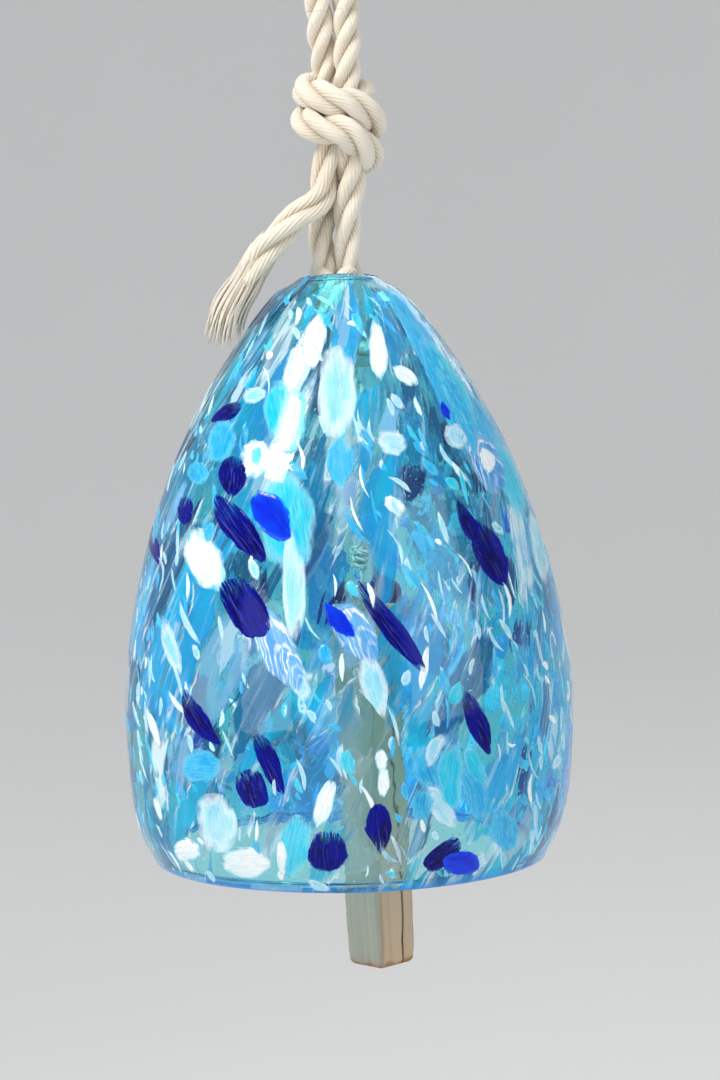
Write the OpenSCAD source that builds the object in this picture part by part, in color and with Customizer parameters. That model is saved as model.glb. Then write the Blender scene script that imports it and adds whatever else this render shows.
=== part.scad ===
// Glass wind chime: a blown glass bell on a knotted rope, with a wooden clapper on a twine.
// The origin is the inside top of the hanging loop. Up is +Z, and the front faces -Y.

/* [Glass bell] */
// Height of the bell from its crown to its rim
bell_h = 152; // [130:0.5:170]
// Widest outside diameter of the bell
bell_d = 114; // [100:0.5:130]
// Outside diameter at the rim
rim_d = 100.5; // [96:0.5:112]
// Thickness of the wall
bell_wall = 4.2; // [3:0.1:5.5]
// Thickness of the lip round the crown hole
crown_lip = 3; // [2.4:0.1:4]
// Diameter of the hole in the crown
crown_hole_d = 15.2; // [15:0.1:18]
// Lean of the bell out of plumb, in degrees
bell_lean = 1.7; // [0:0.1:2.5]
// Drop from the hook to the crown of the bell
crown_drop = 116; // [115.5:0.1:117]
// Distance of the crown's centre to the left of the plumb line
crown_offset = 1.8; // [1.5:0.1:2.2]

/* [Rope] */
// Diameter of the twisted cotton rope
rope_d = 6.6; // [6:0.1:6.7]
// Diameter of the rope where the crown hole squeezes it
neck_d = 6.4; // [6:0.1:6.5]
// Diameter of the frayed end of the rope
fringe_d = 9; // [7:0.1:9.5]

/* [Outer knot] */
// Width of the strands in the middle of the knot
knot_core_w = 12; // [11:0.1:13]
// Depth of the strands in the middle of the knot
knot_core_depth = 10; // [9:0.1:11]

/* [Stopper knot] */
// How far the stopper knot overlaps the edge of the crown hole
stopper_grip = 1.2; // [0.8:0.1:2]
// Gap between the stopper knot and the glass that rests on it
seat_gap = 0.3; // [0.2:0.05:0.5]

/* [Twine] */
// Diameter of the clapper's twine
twine_d = 1.5; // [1.2:0.05:1.6]
// Gap between neighbouring turns of twine
twine_gap = 0.45; // [0.42:0.01:0.6]
// Gap between the hitch and the rope that it hangs on
hitch_gap = 0.4; // [0.3:0.05:0.6]
// Diameter of the hitch's small knot
hitch_knot_d = 3.6; // [3:0.1:4]
// Turns in the wrapped knot above the clapper
wrap_turns = 3.25; // [2.25:1:3.25]

/* [Clapper] */
// Side of the square clapper
clapper_side = 12.7; // [10:0.1:15]
// Length of the clapper
clapper_len = 93; // [80:1:110]
// Turn of the clapper about the plumb line, in degrees
clapper_turn = 42.6; // [0:0.1:90]
// Width of the worn bevel on the clapper's edges
edge_wear = 1.4; // [0.3:0.1:2]

/* [Screw eye] */
// Diameter of the eye's wire
eye_wire = 1.3; // [1:0.05:1.4]
// Diameter of the eye's ring, measured along the middle of its wire
eye_d = 4.4; // [4.2:0.1:5]
// Diameter of the eye's screw
eye_screw_d = 1.8; // [1.4:0.1:2.5]
// Depth of the screw in the clapper
eye_screw_len = 9; // [6:0.5:14]

/* [Hidden] */

// Colours of the materials
rope_colour = [0.91, 0.86, 0.77];
glass_colour = [0.3, 0.72, 0.85, 0.5];
twine_colour = [0.8, 0.74, 0.64];
wood_colour = [0.64, 0.54, 0.44];
steel_colour = [0.75, 0.76, 0.78];

// Smoothness of round pieces and of tubes
fine_fn = 96;
small_fn = 32;
rope_sides = 8;
loop_sides = 6;
loop_rings = 24;
curve_steps = 3;
knot_curve_steps = 2;
knot_turn_points = 9;
arc_steps = 6;

// Bell outline: places of its outer curve, as shares of the widest radius and of the height
crown_slope = 45;
outline_shares = [[0.333, 0.0631], [0.475, 0.132], [0.618, 0.218], [0.788, 0.352], [0.925, 0.52],
    [0.988, 0.655], [1, 0.756], [0.985, 0.856], [0.955, 0.923]];
lip_r = crown_lip / 2;
lip_centre = [crown_hole_d / 2 + lip_r, -lip_r];
crown_start = lip_centre + lip_r * [sin(crown_slope), cos(crown_slope)];
rim_end = [rim_d / 2, bell_wall / 2 - bell_h];
outline_points = concat([crown_start],
    [for (s = outline_shares) [s.x * bell_d / 2, -s.y * bell_h]], [rim_end]);

// A point on the smooth curve through b and c, with a and d as their neighbours
function curve_point(a, b, c, d, t) = (2 * b + (c - a) * t + (2 * a - 5 * b + 4 * c - d) * t * t
    + (3 * b - a - 3 * c + d) * t * t * t) / 2;
// The smooth curve through all the points
function curve_through(p, steps) = [for (i = [0 : len(p) - 2]) for (k = [0 : steps - 1])
    curve_point(p[max(i - 1, 0)], p[i], p[i + 1], p[min(i + 2, len(p) - 1)], k / steps),
    p[len(p) - 1]];
function unit(v) = v / norm(v);
// The direction of a row of points at number i
function along(p, i) = unit(p[min(i + 1, len(p) - 1)] - p[max(i - 1, 0)]);
function inward(p, i) = [along(p, i).y, -along(p, i).x];
// The wall grows from the lip's thickness to its own over the share of the height given here
thickening_share = 0.195;
function wall_at(z) = crown_lip
    + (bell_wall - crown_lip) * min(1, -z / (bell_h * thickening_share));
// Points of a half circle that closes the wall between its outer and inner curve
function lip_arc(from, to) = [for (k = [1 : arc_steps - 1]) (from + to) / 2
    + (from - to) / 2 * cos(180 * k / arc_steps)
    + [-(from - to).y, (from - to).x] / 2 * sin(180 * k / arc_steps)];
outer_curve = curve_through(outline_points, curve_steps);
inner_curve = [for (i = [0 : len(outer_curve) - 1])
    outer_curve[i] + inward(outer_curve, i) * wall_at(outer_curve[i].y)];
last = len(outer_curve) - 1;
rim_arc = lip_arc(inner_curve[last], outer_curve[last]);
crown_arc = lip_arc(outer_curve[0], inner_curve[0]);
inner_back = [for (i = [last : -1 : 0]) inner_curve[i]];
outer_wall = concat(outer_curve, [for (i = [len(rim_arc) - 1 : -1 : 0]) rim_arc[i]]);
inner_wall = concat(inner_back, [for (i = [len(crown_arc) - 1 : -1 : 0]) crown_arc[i]]);
bell_outline = concat(outer_wall, inner_wall);

// The stopper knot is a ball that the inner wall rests on, a seat gap away
stopper_r = crown_hole_d / 2 + stopper_grip;
reach = stopper_r + seat_gap;
stopper_depth = max([for (p = bell_outline) p.x < reach ? sqrt(reach * reach - p.x * p.x) - p.y : 0]);
stopper_core_share = 0.62;
stopper_turns = 1.1;
stopper_lean = 52;
stopper_path_r = stopper_r - rope_d / 2;

// Routes of the rope, from the hook down, as points chosen by hand
hook_route = [[-13.2, 0, -10], [-12.2, 0, -4.8], [-9.3, 0, -0.6], [-5, 0, 2.3], [0, 0, 3.3],
    [5, 0, 2.3], [9.3, 0, -0.6], [12.2, 0, -4.8], [13.2, 0, -10]];
side_left_route = [[-13.2, 0, -10], [-12.9, 0, -16], [-11.4, 0, -23], [-9, 0, -30], [-6.4, 0, -37],
    [-4.4, 0, -43.5], [-3.4, 0, -50]];
side_right_route = [for (p = side_left_route) [-p.x, p.y, p.z]];
leg_left_route = [[-3.4, 0, -50], [-3.3, 0.3, -56], [-2.9, 1.6, -62], [-2.4, 2.4, -67]];
leg_right_route = [[3.4, 0, -50], [3.4, -0.3, -56], [3.2, -1.4, -62], [2.9, -1.8, -67]];
neck_left_route = [[-0.6, 4, -93], [-2.6, 3.6, -98], [-5, 2.6, -103], [-5.6, 1.6, -108.5],
    [-5.6, 1.1, -113], [-5.7, 0.7, -118]];
neck_right_route = [[2.6, -2, -93], [1.9, -1.8, -98], [1.1, -1.5, -104], [0.7, -1.1, -110],
    [0.8, -0.8, -114], [0.9, -0.6, -118]];
tail_route = [[-4.1, -2.8, -93], [-4.8, -3.8, -96.8], [-7, -4.9, -100], [-11.4, -5.8, -103],
    [-16.2, -6.6, -107.2], [-20, -7.2, -110.8], [-22.9, -7.6, -115], [-25.2, -7.8, -119],
    [-27.8, -7.8, -122.6], [-29.9, -7.8, -126.2], [-31.4, -7.8, -130.4]];
// The rope's turns in the outer knot, from the right shoulder round and down to the tail
knot_points = [[6.8, 1, -73], [4.5, 5.5, -71.5], [0, 7.2, -70.8], [-4.8, 5.6, -70.6],
    [-7.4, 1.5, -71.2], [-6.3, -3.5, -72.4], [-1.8, -6.6, -74.2], [3.3, -6.6, -75.7],
    [7.4, -4, -78.5], [8.6, 0.5, -80.5], [6.5, 5, -80.5], [1, 7, -79], [-5, 5.2, -78],
    [-7.8, 0.8, -78.9], [-7, -3.8, -79.9], [-3.4, -7.2, -81.3], [1.6, -8.2, -82.7],
    [5.3, -6.2, -85.6], [7, -2, -88.4], [5.6, 2.5, -89.4], [1.5, 4.6, -89.4], [-2.5, 2.5, -89.4]];
tail_radii = [for (i = [0 : len(tail_route) - 1]) i < len(tail_route) - 3 ? rope_d / 2
    : rope_d / 2 + (fringe_d - rope_d) / 2 * (i - len(tail_route) + 4) / 3];
// The bight of rope under the stopper knot, which the twine hangs on
bight_route = [[-5.6, 0, -128], [-6.4, 0, -132], [-6.1, 0, -136], [-4.8, 0, -138.6], [-2.7, 0, -139.5],
    [2.7, 0, -139.5], [4.6, 0, -138.6], [5.6, 0, -136], [5, 0, -131.6], [2.8, 0, -127.6]];
bight_z = bight_route[4].z;

// The outer knot's middle runs from the legs above it to the neck below it
knot_top = leg_left_route[len(leg_left_route) - 1].z;
knot_bottom = neck_left_route[0].z;
knot_x = 0.6;

// Hitch, twine, wrapped knot and loop, from the rope's bight down
hitch_r = rope_d / 2 + hitch_gap + twine_d / 2;
turn_pitch = twine_d + twine_gap;
hitch_turns = 2;
hitch_knot_z = bight_z - hitch_r - hitch_knot_d / 4;
twine_route = [[0, 0, -146.8], [0, 0, -166], [0, 0, -186.6]];
twine_top = twine_route[0].z;
wrap_top = twine_route[len(twine_route) - 1].z;
wrap_core_r = twine_d * 3 / 4;
wrap_r = wrap_core_r + twine_d * 2 / 5;
wrap_len = wrap_turns * turn_pitch + twine_d;
// The loop under the wrapped knot passes below the top of the eye's ring
loop_clear = 0.2;
loop_neck = 2.5;
loop_spread = eye_wire / 2 + loop_clear + twine_d / 2;
eye_top = wrap_top - wrap_len - loop_neck;
loop_top = wrap_top - wrap_len;
loop_half = [[0, -twine_d * 0.6, loop_top], [0, -loop_spread * 0.9, eye_top + loop_neck * 0.5],
    [0, -loop_spread, eye_top], [0, -loop_spread * 0.7, eye_top - loop_spread * 0.7]];
loop_route = concat(loop_half, [[0, 0, eye_top - loop_spread]],
    [for (i = [len(loop_half) - 1 : -1 : 0]) [0, -loop_half[i].y, loop_half[i].z]]);
clapper_top = eye_top - eye_d - eye_wire / 2;
screw_tip = eye_screw_d;

// The ring of a tube round a point, square to the direction given
function tube_ring(centre, heading, r, sides, up) = let (side = unit(cross(heading, up)))
    [for (k = [0 : sides - 1]) centre + r * cos(360 * k / sides) * side
    + r * sin(360 * k / sides) * cross(side, heading)];
// The direction of a tube at number i, which is upright at the ends of one that is cut level
function tube_heading(p, i, level) = level && (i == 0 || i == len(p) - 1)
    ? [0, 0, sign(along(p, i).z)] : along(p, i);
function tube_walls(rings, sides) = [for (i = [0 : rings - 2]) for (k = [0 : sides - 1])
    for (face = [[i * sides + k, i * sides + (k + 1) % sides, (i + 1) * sides + (k + 1) % sides],
        [i * sides + k, (i + 1) * sides + (k + 1) % sides, (i + 1) * sides + k]]) face];
function tube_ends(rings, sides) = [for (k = [1 : sides - 2]) for (face = [[0, k + 1, k],
    [(rings - 1) * sides, (rings - 1) * sides + k, (rings - 1) * sides + k + 1]]) face];

// A round tube along a route, with one radius or one for each point
module tube(route, r, sides, up = [0, 1, 0], level = false) {
    rings = [for (i = [0 : len(route) - 1]) tube_ring(route[i], tube_heading(route, i, level),
        is_list(r) ? r[i] : r, sides, up)];
    polyhedron([for (ring = rings) for (p = ring) p],
        concat(tube_walls(len(route), sides), tube_ends(len(route), sides)));
}

// Routes of the turns of the knots and of the twine
knot_route = curve_through(knot_points, knot_curve_steps);
knot_rings = knot_turn_points * knot_curve_steps;
stopper_steps = ceil(stopper_turns * loop_rings);
stopper_route = [for (i = [0 : stopper_steps]) let (share = i / stopper_steps,
    angle = 360 * stopper_turns * share, rise = stopper_lean * (1 - 2 * share))
    stopper_path_r * [cos(angle) * cos(rise), sin(angle) * cos(rise), sin(rise)]];
hitch_steps = hitch_turns * loop_rings;
hitch_route = [for (i = [0 : hitch_steps]) let (angle = 360 * i / loop_rings)
    [turn_pitch * hitch_turns * (i / hitch_steps - 1 / 2), hitch_r * sin(angle),
    bight_z - hitch_r * cos(angle)]];
wrap_steps = ceil(wrap_turns * loop_rings);
wrap_route = [for (i = [0 : wrap_steps]) let (turn = i / wrap_steps * wrap_turns)
    [wrap_r * cos(360 * turn), wrap_r * sin(360 * turn), wrap_top - twine_d / 2 - turn_pitch * turn]];

// The least gap of a wound tube to itself, between points about half a turn or more apart
function least_gap(p, d, apart) = min([for (i = [0 : len(p) - 1])
    for (k = [i + apart : 1 : len(p) - 1]) norm(p[i] - p[k])]) - d;
echo(outer_knot_gap = least_gap(knot_route, rope_d, knot_rings / 2));
echo(stopper_knot_gap = least_gap(stopper_route, rope_d, loop_rings / 2));
echo(twine_hitch_gap = least_gap(hitch_route, twine_d, loop_rings / 2));
echo(twine_knot_gap = least_gap(wrap_route, twine_d, loop_rings / 2));

// Places a piece in the bell's own leaning frame, which starts at the middle of the crown
module at_crown() {
    translate([-crown_offset, 0, -crown_drop]) rotate([0, bell_lean, 0]) children();
}

// A stretch of the rope above the knot, cut level at both ends
module loop_stretch(route) {
    color(rope_colour) tube(route, rope_d / 2, rope_sides, level = true);
}

module hanging_loop() {
    loop_stretch(hook_route);
}

module loop_side_left() {
    loop_stretch(side_left_route);
}

module loop_side_right() {
    loop_stretch(side_right_route);
}

module loop_leg_left() {
    loop_stretch(leg_left_route);
}

module loop_leg_right() {
    loop_stretch(leg_right_route);
}

// The knot is the rope's two turns, on the strands that run through its middle
module outer_knot() {
    color(rope_colour) union() {
        tube(knot_route, rope_d / 2, loop_sides, [0, 0, 1]);
        translate([knot_x, 0, knot_bottom]) linear_extrude(knot_top - knot_bottom)
            scale([knot_core_w / 2, knot_core_depth / 2]) circle(1, $fn = small_fn);
    }
}

module rope_tail() {
    color(rope_colour) tube(tail_route, tail_radii, rope_sides);
}

module neck_leg_left() {
    color(rope_colour) tube(neck_left_route, neck_d / 2, rope_sides);
}

module neck_leg_right() {
    color(rope_colour) tube(neck_right_route, neck_d / 2, rope_sides);
}

// The rope's knot inside the crown, and the bight that sticks out below it
module stopper_knot() {
    color(rope_colour) union() {
        at_crown() translate([0, 0, -stopper_depth]) {
            tube(stopper_route, rope_d / 2, loop_sides, [0, 0, 1]);
            sphere(stopper_r * stopper_core_share, $fn = small_fn);
        }
        tube(bight_route, rope_d / 2, rope_sides);
    }
}

module glass_bell() {
    color(glass_colour) at_crown()
        rotate_extrude($fn = fine_fn) polygon(bell_outline);
}

// Two turns of twine round the rope's bight, drawn together in a small knot
module twine_hitch() {
    color(twine_colour) union() {
        tube(hitch_route, twine_d / 2, loop_sides, [1, 0, 0]);
        translate([0, 0, hitch_knot_z]) sphere(d = hitch_knot_d, $fn = small_fn);
    }
}

module twine() {
    color(twine_colour) tube(twine_route, twine_d / 2, rope_sides);
}

module twine_knot() {
    color(twine_colour) union() {
        tube(wrap_route, twine_d / 2, loop_sides, [0, 0, 1]);
        translate([0, 0, wrap_top - wrap_len]) cylinder(wrap_len, r = wrap_core_r, $fn = small_fn);
    }
}

module twine_loop() {
    color(twine_colour) tube(loop_route, twine_d / 2, rope_sides, [1, 0, 0]);
}

// A wire ring on a screw that is driven into the clapper's end
module screw_eye() {
    color(steel_colour) union() {
        translate([0, 0, eye_top - eye_d / 2]) rotate([90, 0, 0])
            rotate_extrude($fn = fine_fn) translate([eye_d / 2, 0]) circle(d = eye_wire, $fn = small_fn);
        translate([0, 0, clapper_top - eye_screw_len])
            cylinder(eye_screw_len + eye_wire / 2, d = eye_screw_d, $fn = small_fn);
    }
}

// Outline of the square stick with its worn edges, drawn in by the width given
module stick_outline(inset) {
    half = clapper_side / 2 - inset;
    polygon([for (a = [0 : 90 : 270]) for (s = [-1, 1]) half * [cos(a), sin(a)]
        + s * (half - edge_wear) * [-sin(a), cos(a)]]);
}

module clapper() {
    color(wood_colour) translate([0, 0, clapper_top - clapper_len]) difference() {
        rotate([0, 0, clapper_turn]) union() {
            translate([0, 0, edge_wear]) linear_extrude(clapper_len - 2 * edge_wear) stick_outline(0);
            hull() {
                linear_extrude(edge_wear) stick_outline(edge_wear);
                translate([0, 0, edge_wear]) linear_extrude(edge_wear) stick_outline(0);
            }
            hull() {
                translate([0, 0, clapper_len - edge_wear]) linear_extrude(edge_wear)
                    stick_outline(edge_wear);
                translate([0, 0, clapper_len - 2 * edge_wear]) linear_extrude(edge_wear)
                    stick_outline(0);
            }
        }
        translate([0, 0, clapper_len - eye_screw_len])
            cylinder(eye_screw_len + screw_tip, d = eye_screw_d, $fn = small_fn);
    }
}

hanging_loop();
loop_side_left();
loop_side_right();
loop_leg_left();
loop_leg_right();
outer_knot();
rope_tail();
neck_leg_left();
neck_leg_right();
stopper_knot();
glass_bell();
twine_hitch();
twine();
twine_knot();
twine_loop();
screw_eye();
clapper();
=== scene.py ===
"""Glass wind chime: a blown glass bell on a knotted cotton rope, with a wooden clapper on a twine.

Lengths are in metres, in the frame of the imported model: the origin is the inside top of the hanging
loop, +Z is up and -Y is the front. Routes and places are written in millimetres and scaled by MM.
"""

import logging
import math
from dataclasses import dataclass, field
from enum import Enum

import bpy
import numpy as np
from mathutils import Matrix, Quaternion, Vector


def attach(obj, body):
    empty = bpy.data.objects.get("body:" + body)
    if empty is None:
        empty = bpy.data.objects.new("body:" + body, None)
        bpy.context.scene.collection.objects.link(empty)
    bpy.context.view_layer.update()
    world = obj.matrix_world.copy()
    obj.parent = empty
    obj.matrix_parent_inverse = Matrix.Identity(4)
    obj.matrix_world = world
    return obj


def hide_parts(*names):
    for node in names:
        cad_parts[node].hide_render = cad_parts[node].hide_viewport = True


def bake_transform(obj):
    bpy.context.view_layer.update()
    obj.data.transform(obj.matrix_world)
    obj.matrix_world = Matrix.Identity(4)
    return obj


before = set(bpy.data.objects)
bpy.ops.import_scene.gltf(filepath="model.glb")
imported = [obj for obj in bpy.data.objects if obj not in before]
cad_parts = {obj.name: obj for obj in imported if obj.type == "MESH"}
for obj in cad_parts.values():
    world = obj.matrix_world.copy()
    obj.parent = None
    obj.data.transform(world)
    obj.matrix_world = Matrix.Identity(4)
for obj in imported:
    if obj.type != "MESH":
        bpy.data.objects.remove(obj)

LOG = logging.getLogger("wind_chime")
MM = 0.001
TURN = 2 * math.pi
UP = (0.0, 0.0, 1.0)
Point = tuple[float, float, float]
Colour = tuple[float, float, float, float]
Array = np.ndarray
Draws = np.random.Generator
Socket = bpy.types.NodeSocket
Piece = bpy.types.Object

# Routes of the rope and the twine in millimetres, as in the part's source. The ends that lie hidden
# in a knot run a little further into it.
HOOK_HALF = [(0, 0, 3.3), (5, 0, 2.3), (9.3, 0, -0.6), (12.2, 0, -4.8), (13.2, 0, -10)]
SIDE = [(12.9, 0, -16), (11.4, 0, -23), (9, 0, -30), (6.4, 0, -37), (4.4, 0, -43.5), (3.4, 0, -50)]
LEG_LEFT = [(-3.3, 0.3, -56), (-2.9, 1.6, -62), (-2.4, 2.4, -67), (-1.7, 2.4, -74), (-1, 2, -82)]
LEG_RIGHT = [(3.4, -0.3, -56), (3.2, -1.4, -62), (2.9, -1.8, -67), (2.4, -1.4, -74), (1.8, -1, -82)]
KNOT = [(3.6, -2.4, -78.2), (5.8, -0.8, -76), (6.4, 2.4, -73.6), (4, 5.7, -71.6), (0, 7.2, -70.8),
        (-4.8, 5.6, -70.6), (-7.4, 1.5, -71.2), (-6.3, -3.5, -72.4), (-1.8, -6.6, -74.2),
        (3.3, -6.6, -75.7), (7.4, -4, -78.5), (8.6, 0.5, -80.5), (6.5, 5, -80.5), (1, 7, -79),
        (-5, 5.2, -78), (-7.8, 0.8, -78.9), (-7, -3.8, -79.9), (-3.4, -7.2, -81.3),
        (1.6, -8.2, -82.7), (5.3, -6.2, -85.6), (7, -2, -88.4), (5.6, 2.5, -89.4),
        (1.5, 4.6, -89.4), (-2.5, 2.5, -89.4)]
NECK_LEFT = [(-0.6, 2.4, -80), (-0.4, 3.4, -87), (-0.6, 4, -93), (-2.6, 3.6, -98), (-5, 2.6, -103),
             (-5.6, 1.6, -108.5), (-5.6, 1.1, -113), (-5.7, 0.7, -118), (-5, 0.4, -122),
             (-4, 0.2, -124.5)]
NECK_RIGHT = [(2.2, -1.2, -80), (2.7, -1.8, -87), (2.6, -2, -93), (1.9, -1.8, -98),
              (1.1, -1.5, -104), (0.7, -1.1, -110), (0.8, -0.8, -114), (0.9, -0.6, -118),
              (0.6, -0.4, -122), (-0.2, -0.2, -124.5)]
TAIL = [(0.4, -1.4, -79), (-2.4, -2, -85.5), (-4.1, -2.8, -93), (-4.8, -3.8, -96.8),
        (-7, -4.9, -100), (-11.4, -5.8, -103), (-16.2, -6.6, -107.2), (-20, -7.2, -110.8),
        (-22.9, -7.6, -115), (-25.2, -7.8, -119), (-27.8, -7.8, -122.6), (-29.9, -7.8, -126.2),
        (-31.4, -7.8, -130.4)]
BIGHT = [(-4, 0, -124), (-5.4, 0, -128), (-6.4, 0, -132), (-6.1, 0, -136), (-4.8, 0, -138.6),
         (-2.7, 0, -139.5), (2.7, 0, -139.5), (4.6, 0, -138.6), (5.6, 0, -136), (5, 0, -131.6),
         (2.8, 0, -127.6), (0, 0, -124)]
STOPPER_CORE = [(-1.2, 0, -127), (-2, 0, -122.9), (-2.6, 0, -118.8)]
TWINE = [(0, 0, -144.2), (0, 0, -146.8), (0, 0, -166), (0, 0, -186.6), (0, 0, -189)]


def forget_selection() -> None:
    """Leaves edit mode and deselects every object."""
    if bpy.context.mode != "OBJECT":
        bpy.ops.object.mode_set(mode="OBJECT")
    bpy.ops.object.select_all(action="DESELECT")


def pick(piece: Piece) -> None:
    """Selects the piece alone and makes it active."""
    forget_selection()
    piece.select_set(True)
    bpy.context.view_layer.objects.active = piece


def edit(piece: Piece) -> None:
    """Opens the piece in edit mode with all of it selected."""
    pick(piece)
    bpy.ops.object.mode_set(mode="EDIT")
    bpy.ops.mesh.select_all(action="SELECT")


def cut(place: Point, across: Point) -> None:
    """Cuts the mesh that is being edited along a plane, and keeps both halves."""
    bpy.ops.mesh.select_all(action="SELECT")
    bpy.ops.mesh.bisect(plane_co=place, plane_no=across)


def corners(piece: Piece) -> Array:
    """The places of the piece's vertices, one row each."""
    flat = np.empty(len(piece.data.vertices) * 3, np.float32)
    piece.data.vertices.foreach_get("co", flat)
    return flat.reshape(-1, 3).astype(float)


def move_corners(piece: Piece, places: Array) -> None:
    """Puts the piece's vertices at new places."""
    piece.data.vertices.foreach_set("co", places.astype(np.float32).ravel())
    piece.data.update()


def write_attribute(piece: Piece, name: str, values: Array) -> None:
    """Stores a number or a vector for each vertex, for the materials to read.

    Args:
        piece: the mesh object.
        name: the attribute's name.
        values: one row or one number for each vertex.
    """
    vector = values.ndim == 2
    kind = "FLOAT_VECTOR" if vector else "FLOAT"
    layer = piece.data.attributes.get(name) or piece.data.attributes.new(name, kind, "POINT")
    layer.data.foreach_set("vector" if vector else "value", values.astype(np.float32).ravel())


def smooth_faces(piece: Piece) -> None:
    """Shades every face of the piece smooth."""
    piece.data.polygons.foreach_set("use_smooth", np.ones(len(piece.data.polygons), bool))


def spline(places: Array, steps: int) -> Array:
    """A smooth curve through places, apart from the first and the last, which only steer it.

    Args:
        places: one row for each place.
        steps: how many points each stretch between two places gets.

    Returns:
        The points of the curve, one row each.
    """
    share = np.linspace(0, 1, steps, endpoint=False)[:, None]
    fine = [(2 * b + (c - a) * share + (2 * a - 5 * b + 4 * c - d) * share ** 2
             + (3 * b - a - 3 * c + d) * share ** 3) / 2
            for a, b, c, d in zip(places[:-3], places[1:-2], places[2:-1], places[3:])]
    return np.vstack([*fine, places[-2:-1]])


def distances(line: Array) -> Array:
    """How far along a line each of its points is."""
    return np.concatenate([[0], np.cumsum(np.linalg.norm(np.diff(line, axis=0), axis=1))])


def between(z: Array, top: float, top_blur: float, low: float, low_blur: float) -> Array:
    """One between two heights and nothing outside them, with a soft edge at each."""
    return np.clip((top - z) / top_blur, 0, 1) * np.clip((z - low) / low_blur, 0, 1)


def mesh_piece(name: str, points: Array, faces: list[tuple[int, ...]] | Array,
               material: bpy.types.Material) -> Piece:
    """Makes a smooth mesh object from points and faces.

    Args:
        name: the piece's name.
        points: places of the vertices, one row each.
        faces: the vertex numbers of each face.
        material: the finish of the piece.

    Returns:
        The new object, linked to the scene.
    """
    mesh = bpy.data.meshes.new(name)
    mesh.from_pydata(points.tolist(), [], [tuple(face) for face in faces])
    mesh.materials.append(material)
    piece = bpy.data.objects.new(name, mesh)
    smooth_faces(piece)
    mesh.update()
    bpy.context.scene.collection.objects.link(piece)
    return piece


def turned_piece(name: str, outline: Array, steps: int, closed: bool) -> Piece:
    """Turns an outline round the Z axis.

    Args:
        name: the piece's name.
        outline: rows of radius and height.
        steps: how many steps the turn has.
        closed: whether the outline runs back to its start.

    Returns:
        The turned piece.
    """
    forget_selection()
    bpy.ops.mesh.primitive_plane_add(size=0.001)
    piece = bpy.context.object
    piece.name = piece.data.name = name
    edit(piece)
    bpy.ops.mesh.merge(type="CENTER")
    places = [Vector((radius, 0, z)) for radius, z in outline]
    bpy.ops.transform.translate(value=places[0])
    for last, place in zip(places, places[1:] + places[:1] * closed):
        bpy.ops.mesh.extrude_region_move(TRANSFORM_OT_translate={"value": place - last})
    bpy.ops.mesh.select_all(action="SELECT")
    bpy.ops.mesh.spin(steps=steps, angle=TURN, center=(0, 0, 0), axis=(0, 0, 1))
    bpy.ops.mesh.select_all(action="SELECT")
    bpy.ops.mesh.remove_doubles(threshold=1e-6)
    bpy.ops.mesh.normals_make_consistent(inside=False)
    bpy.ops.object.mode_set(mode="OBJECT")
    return piece


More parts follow.
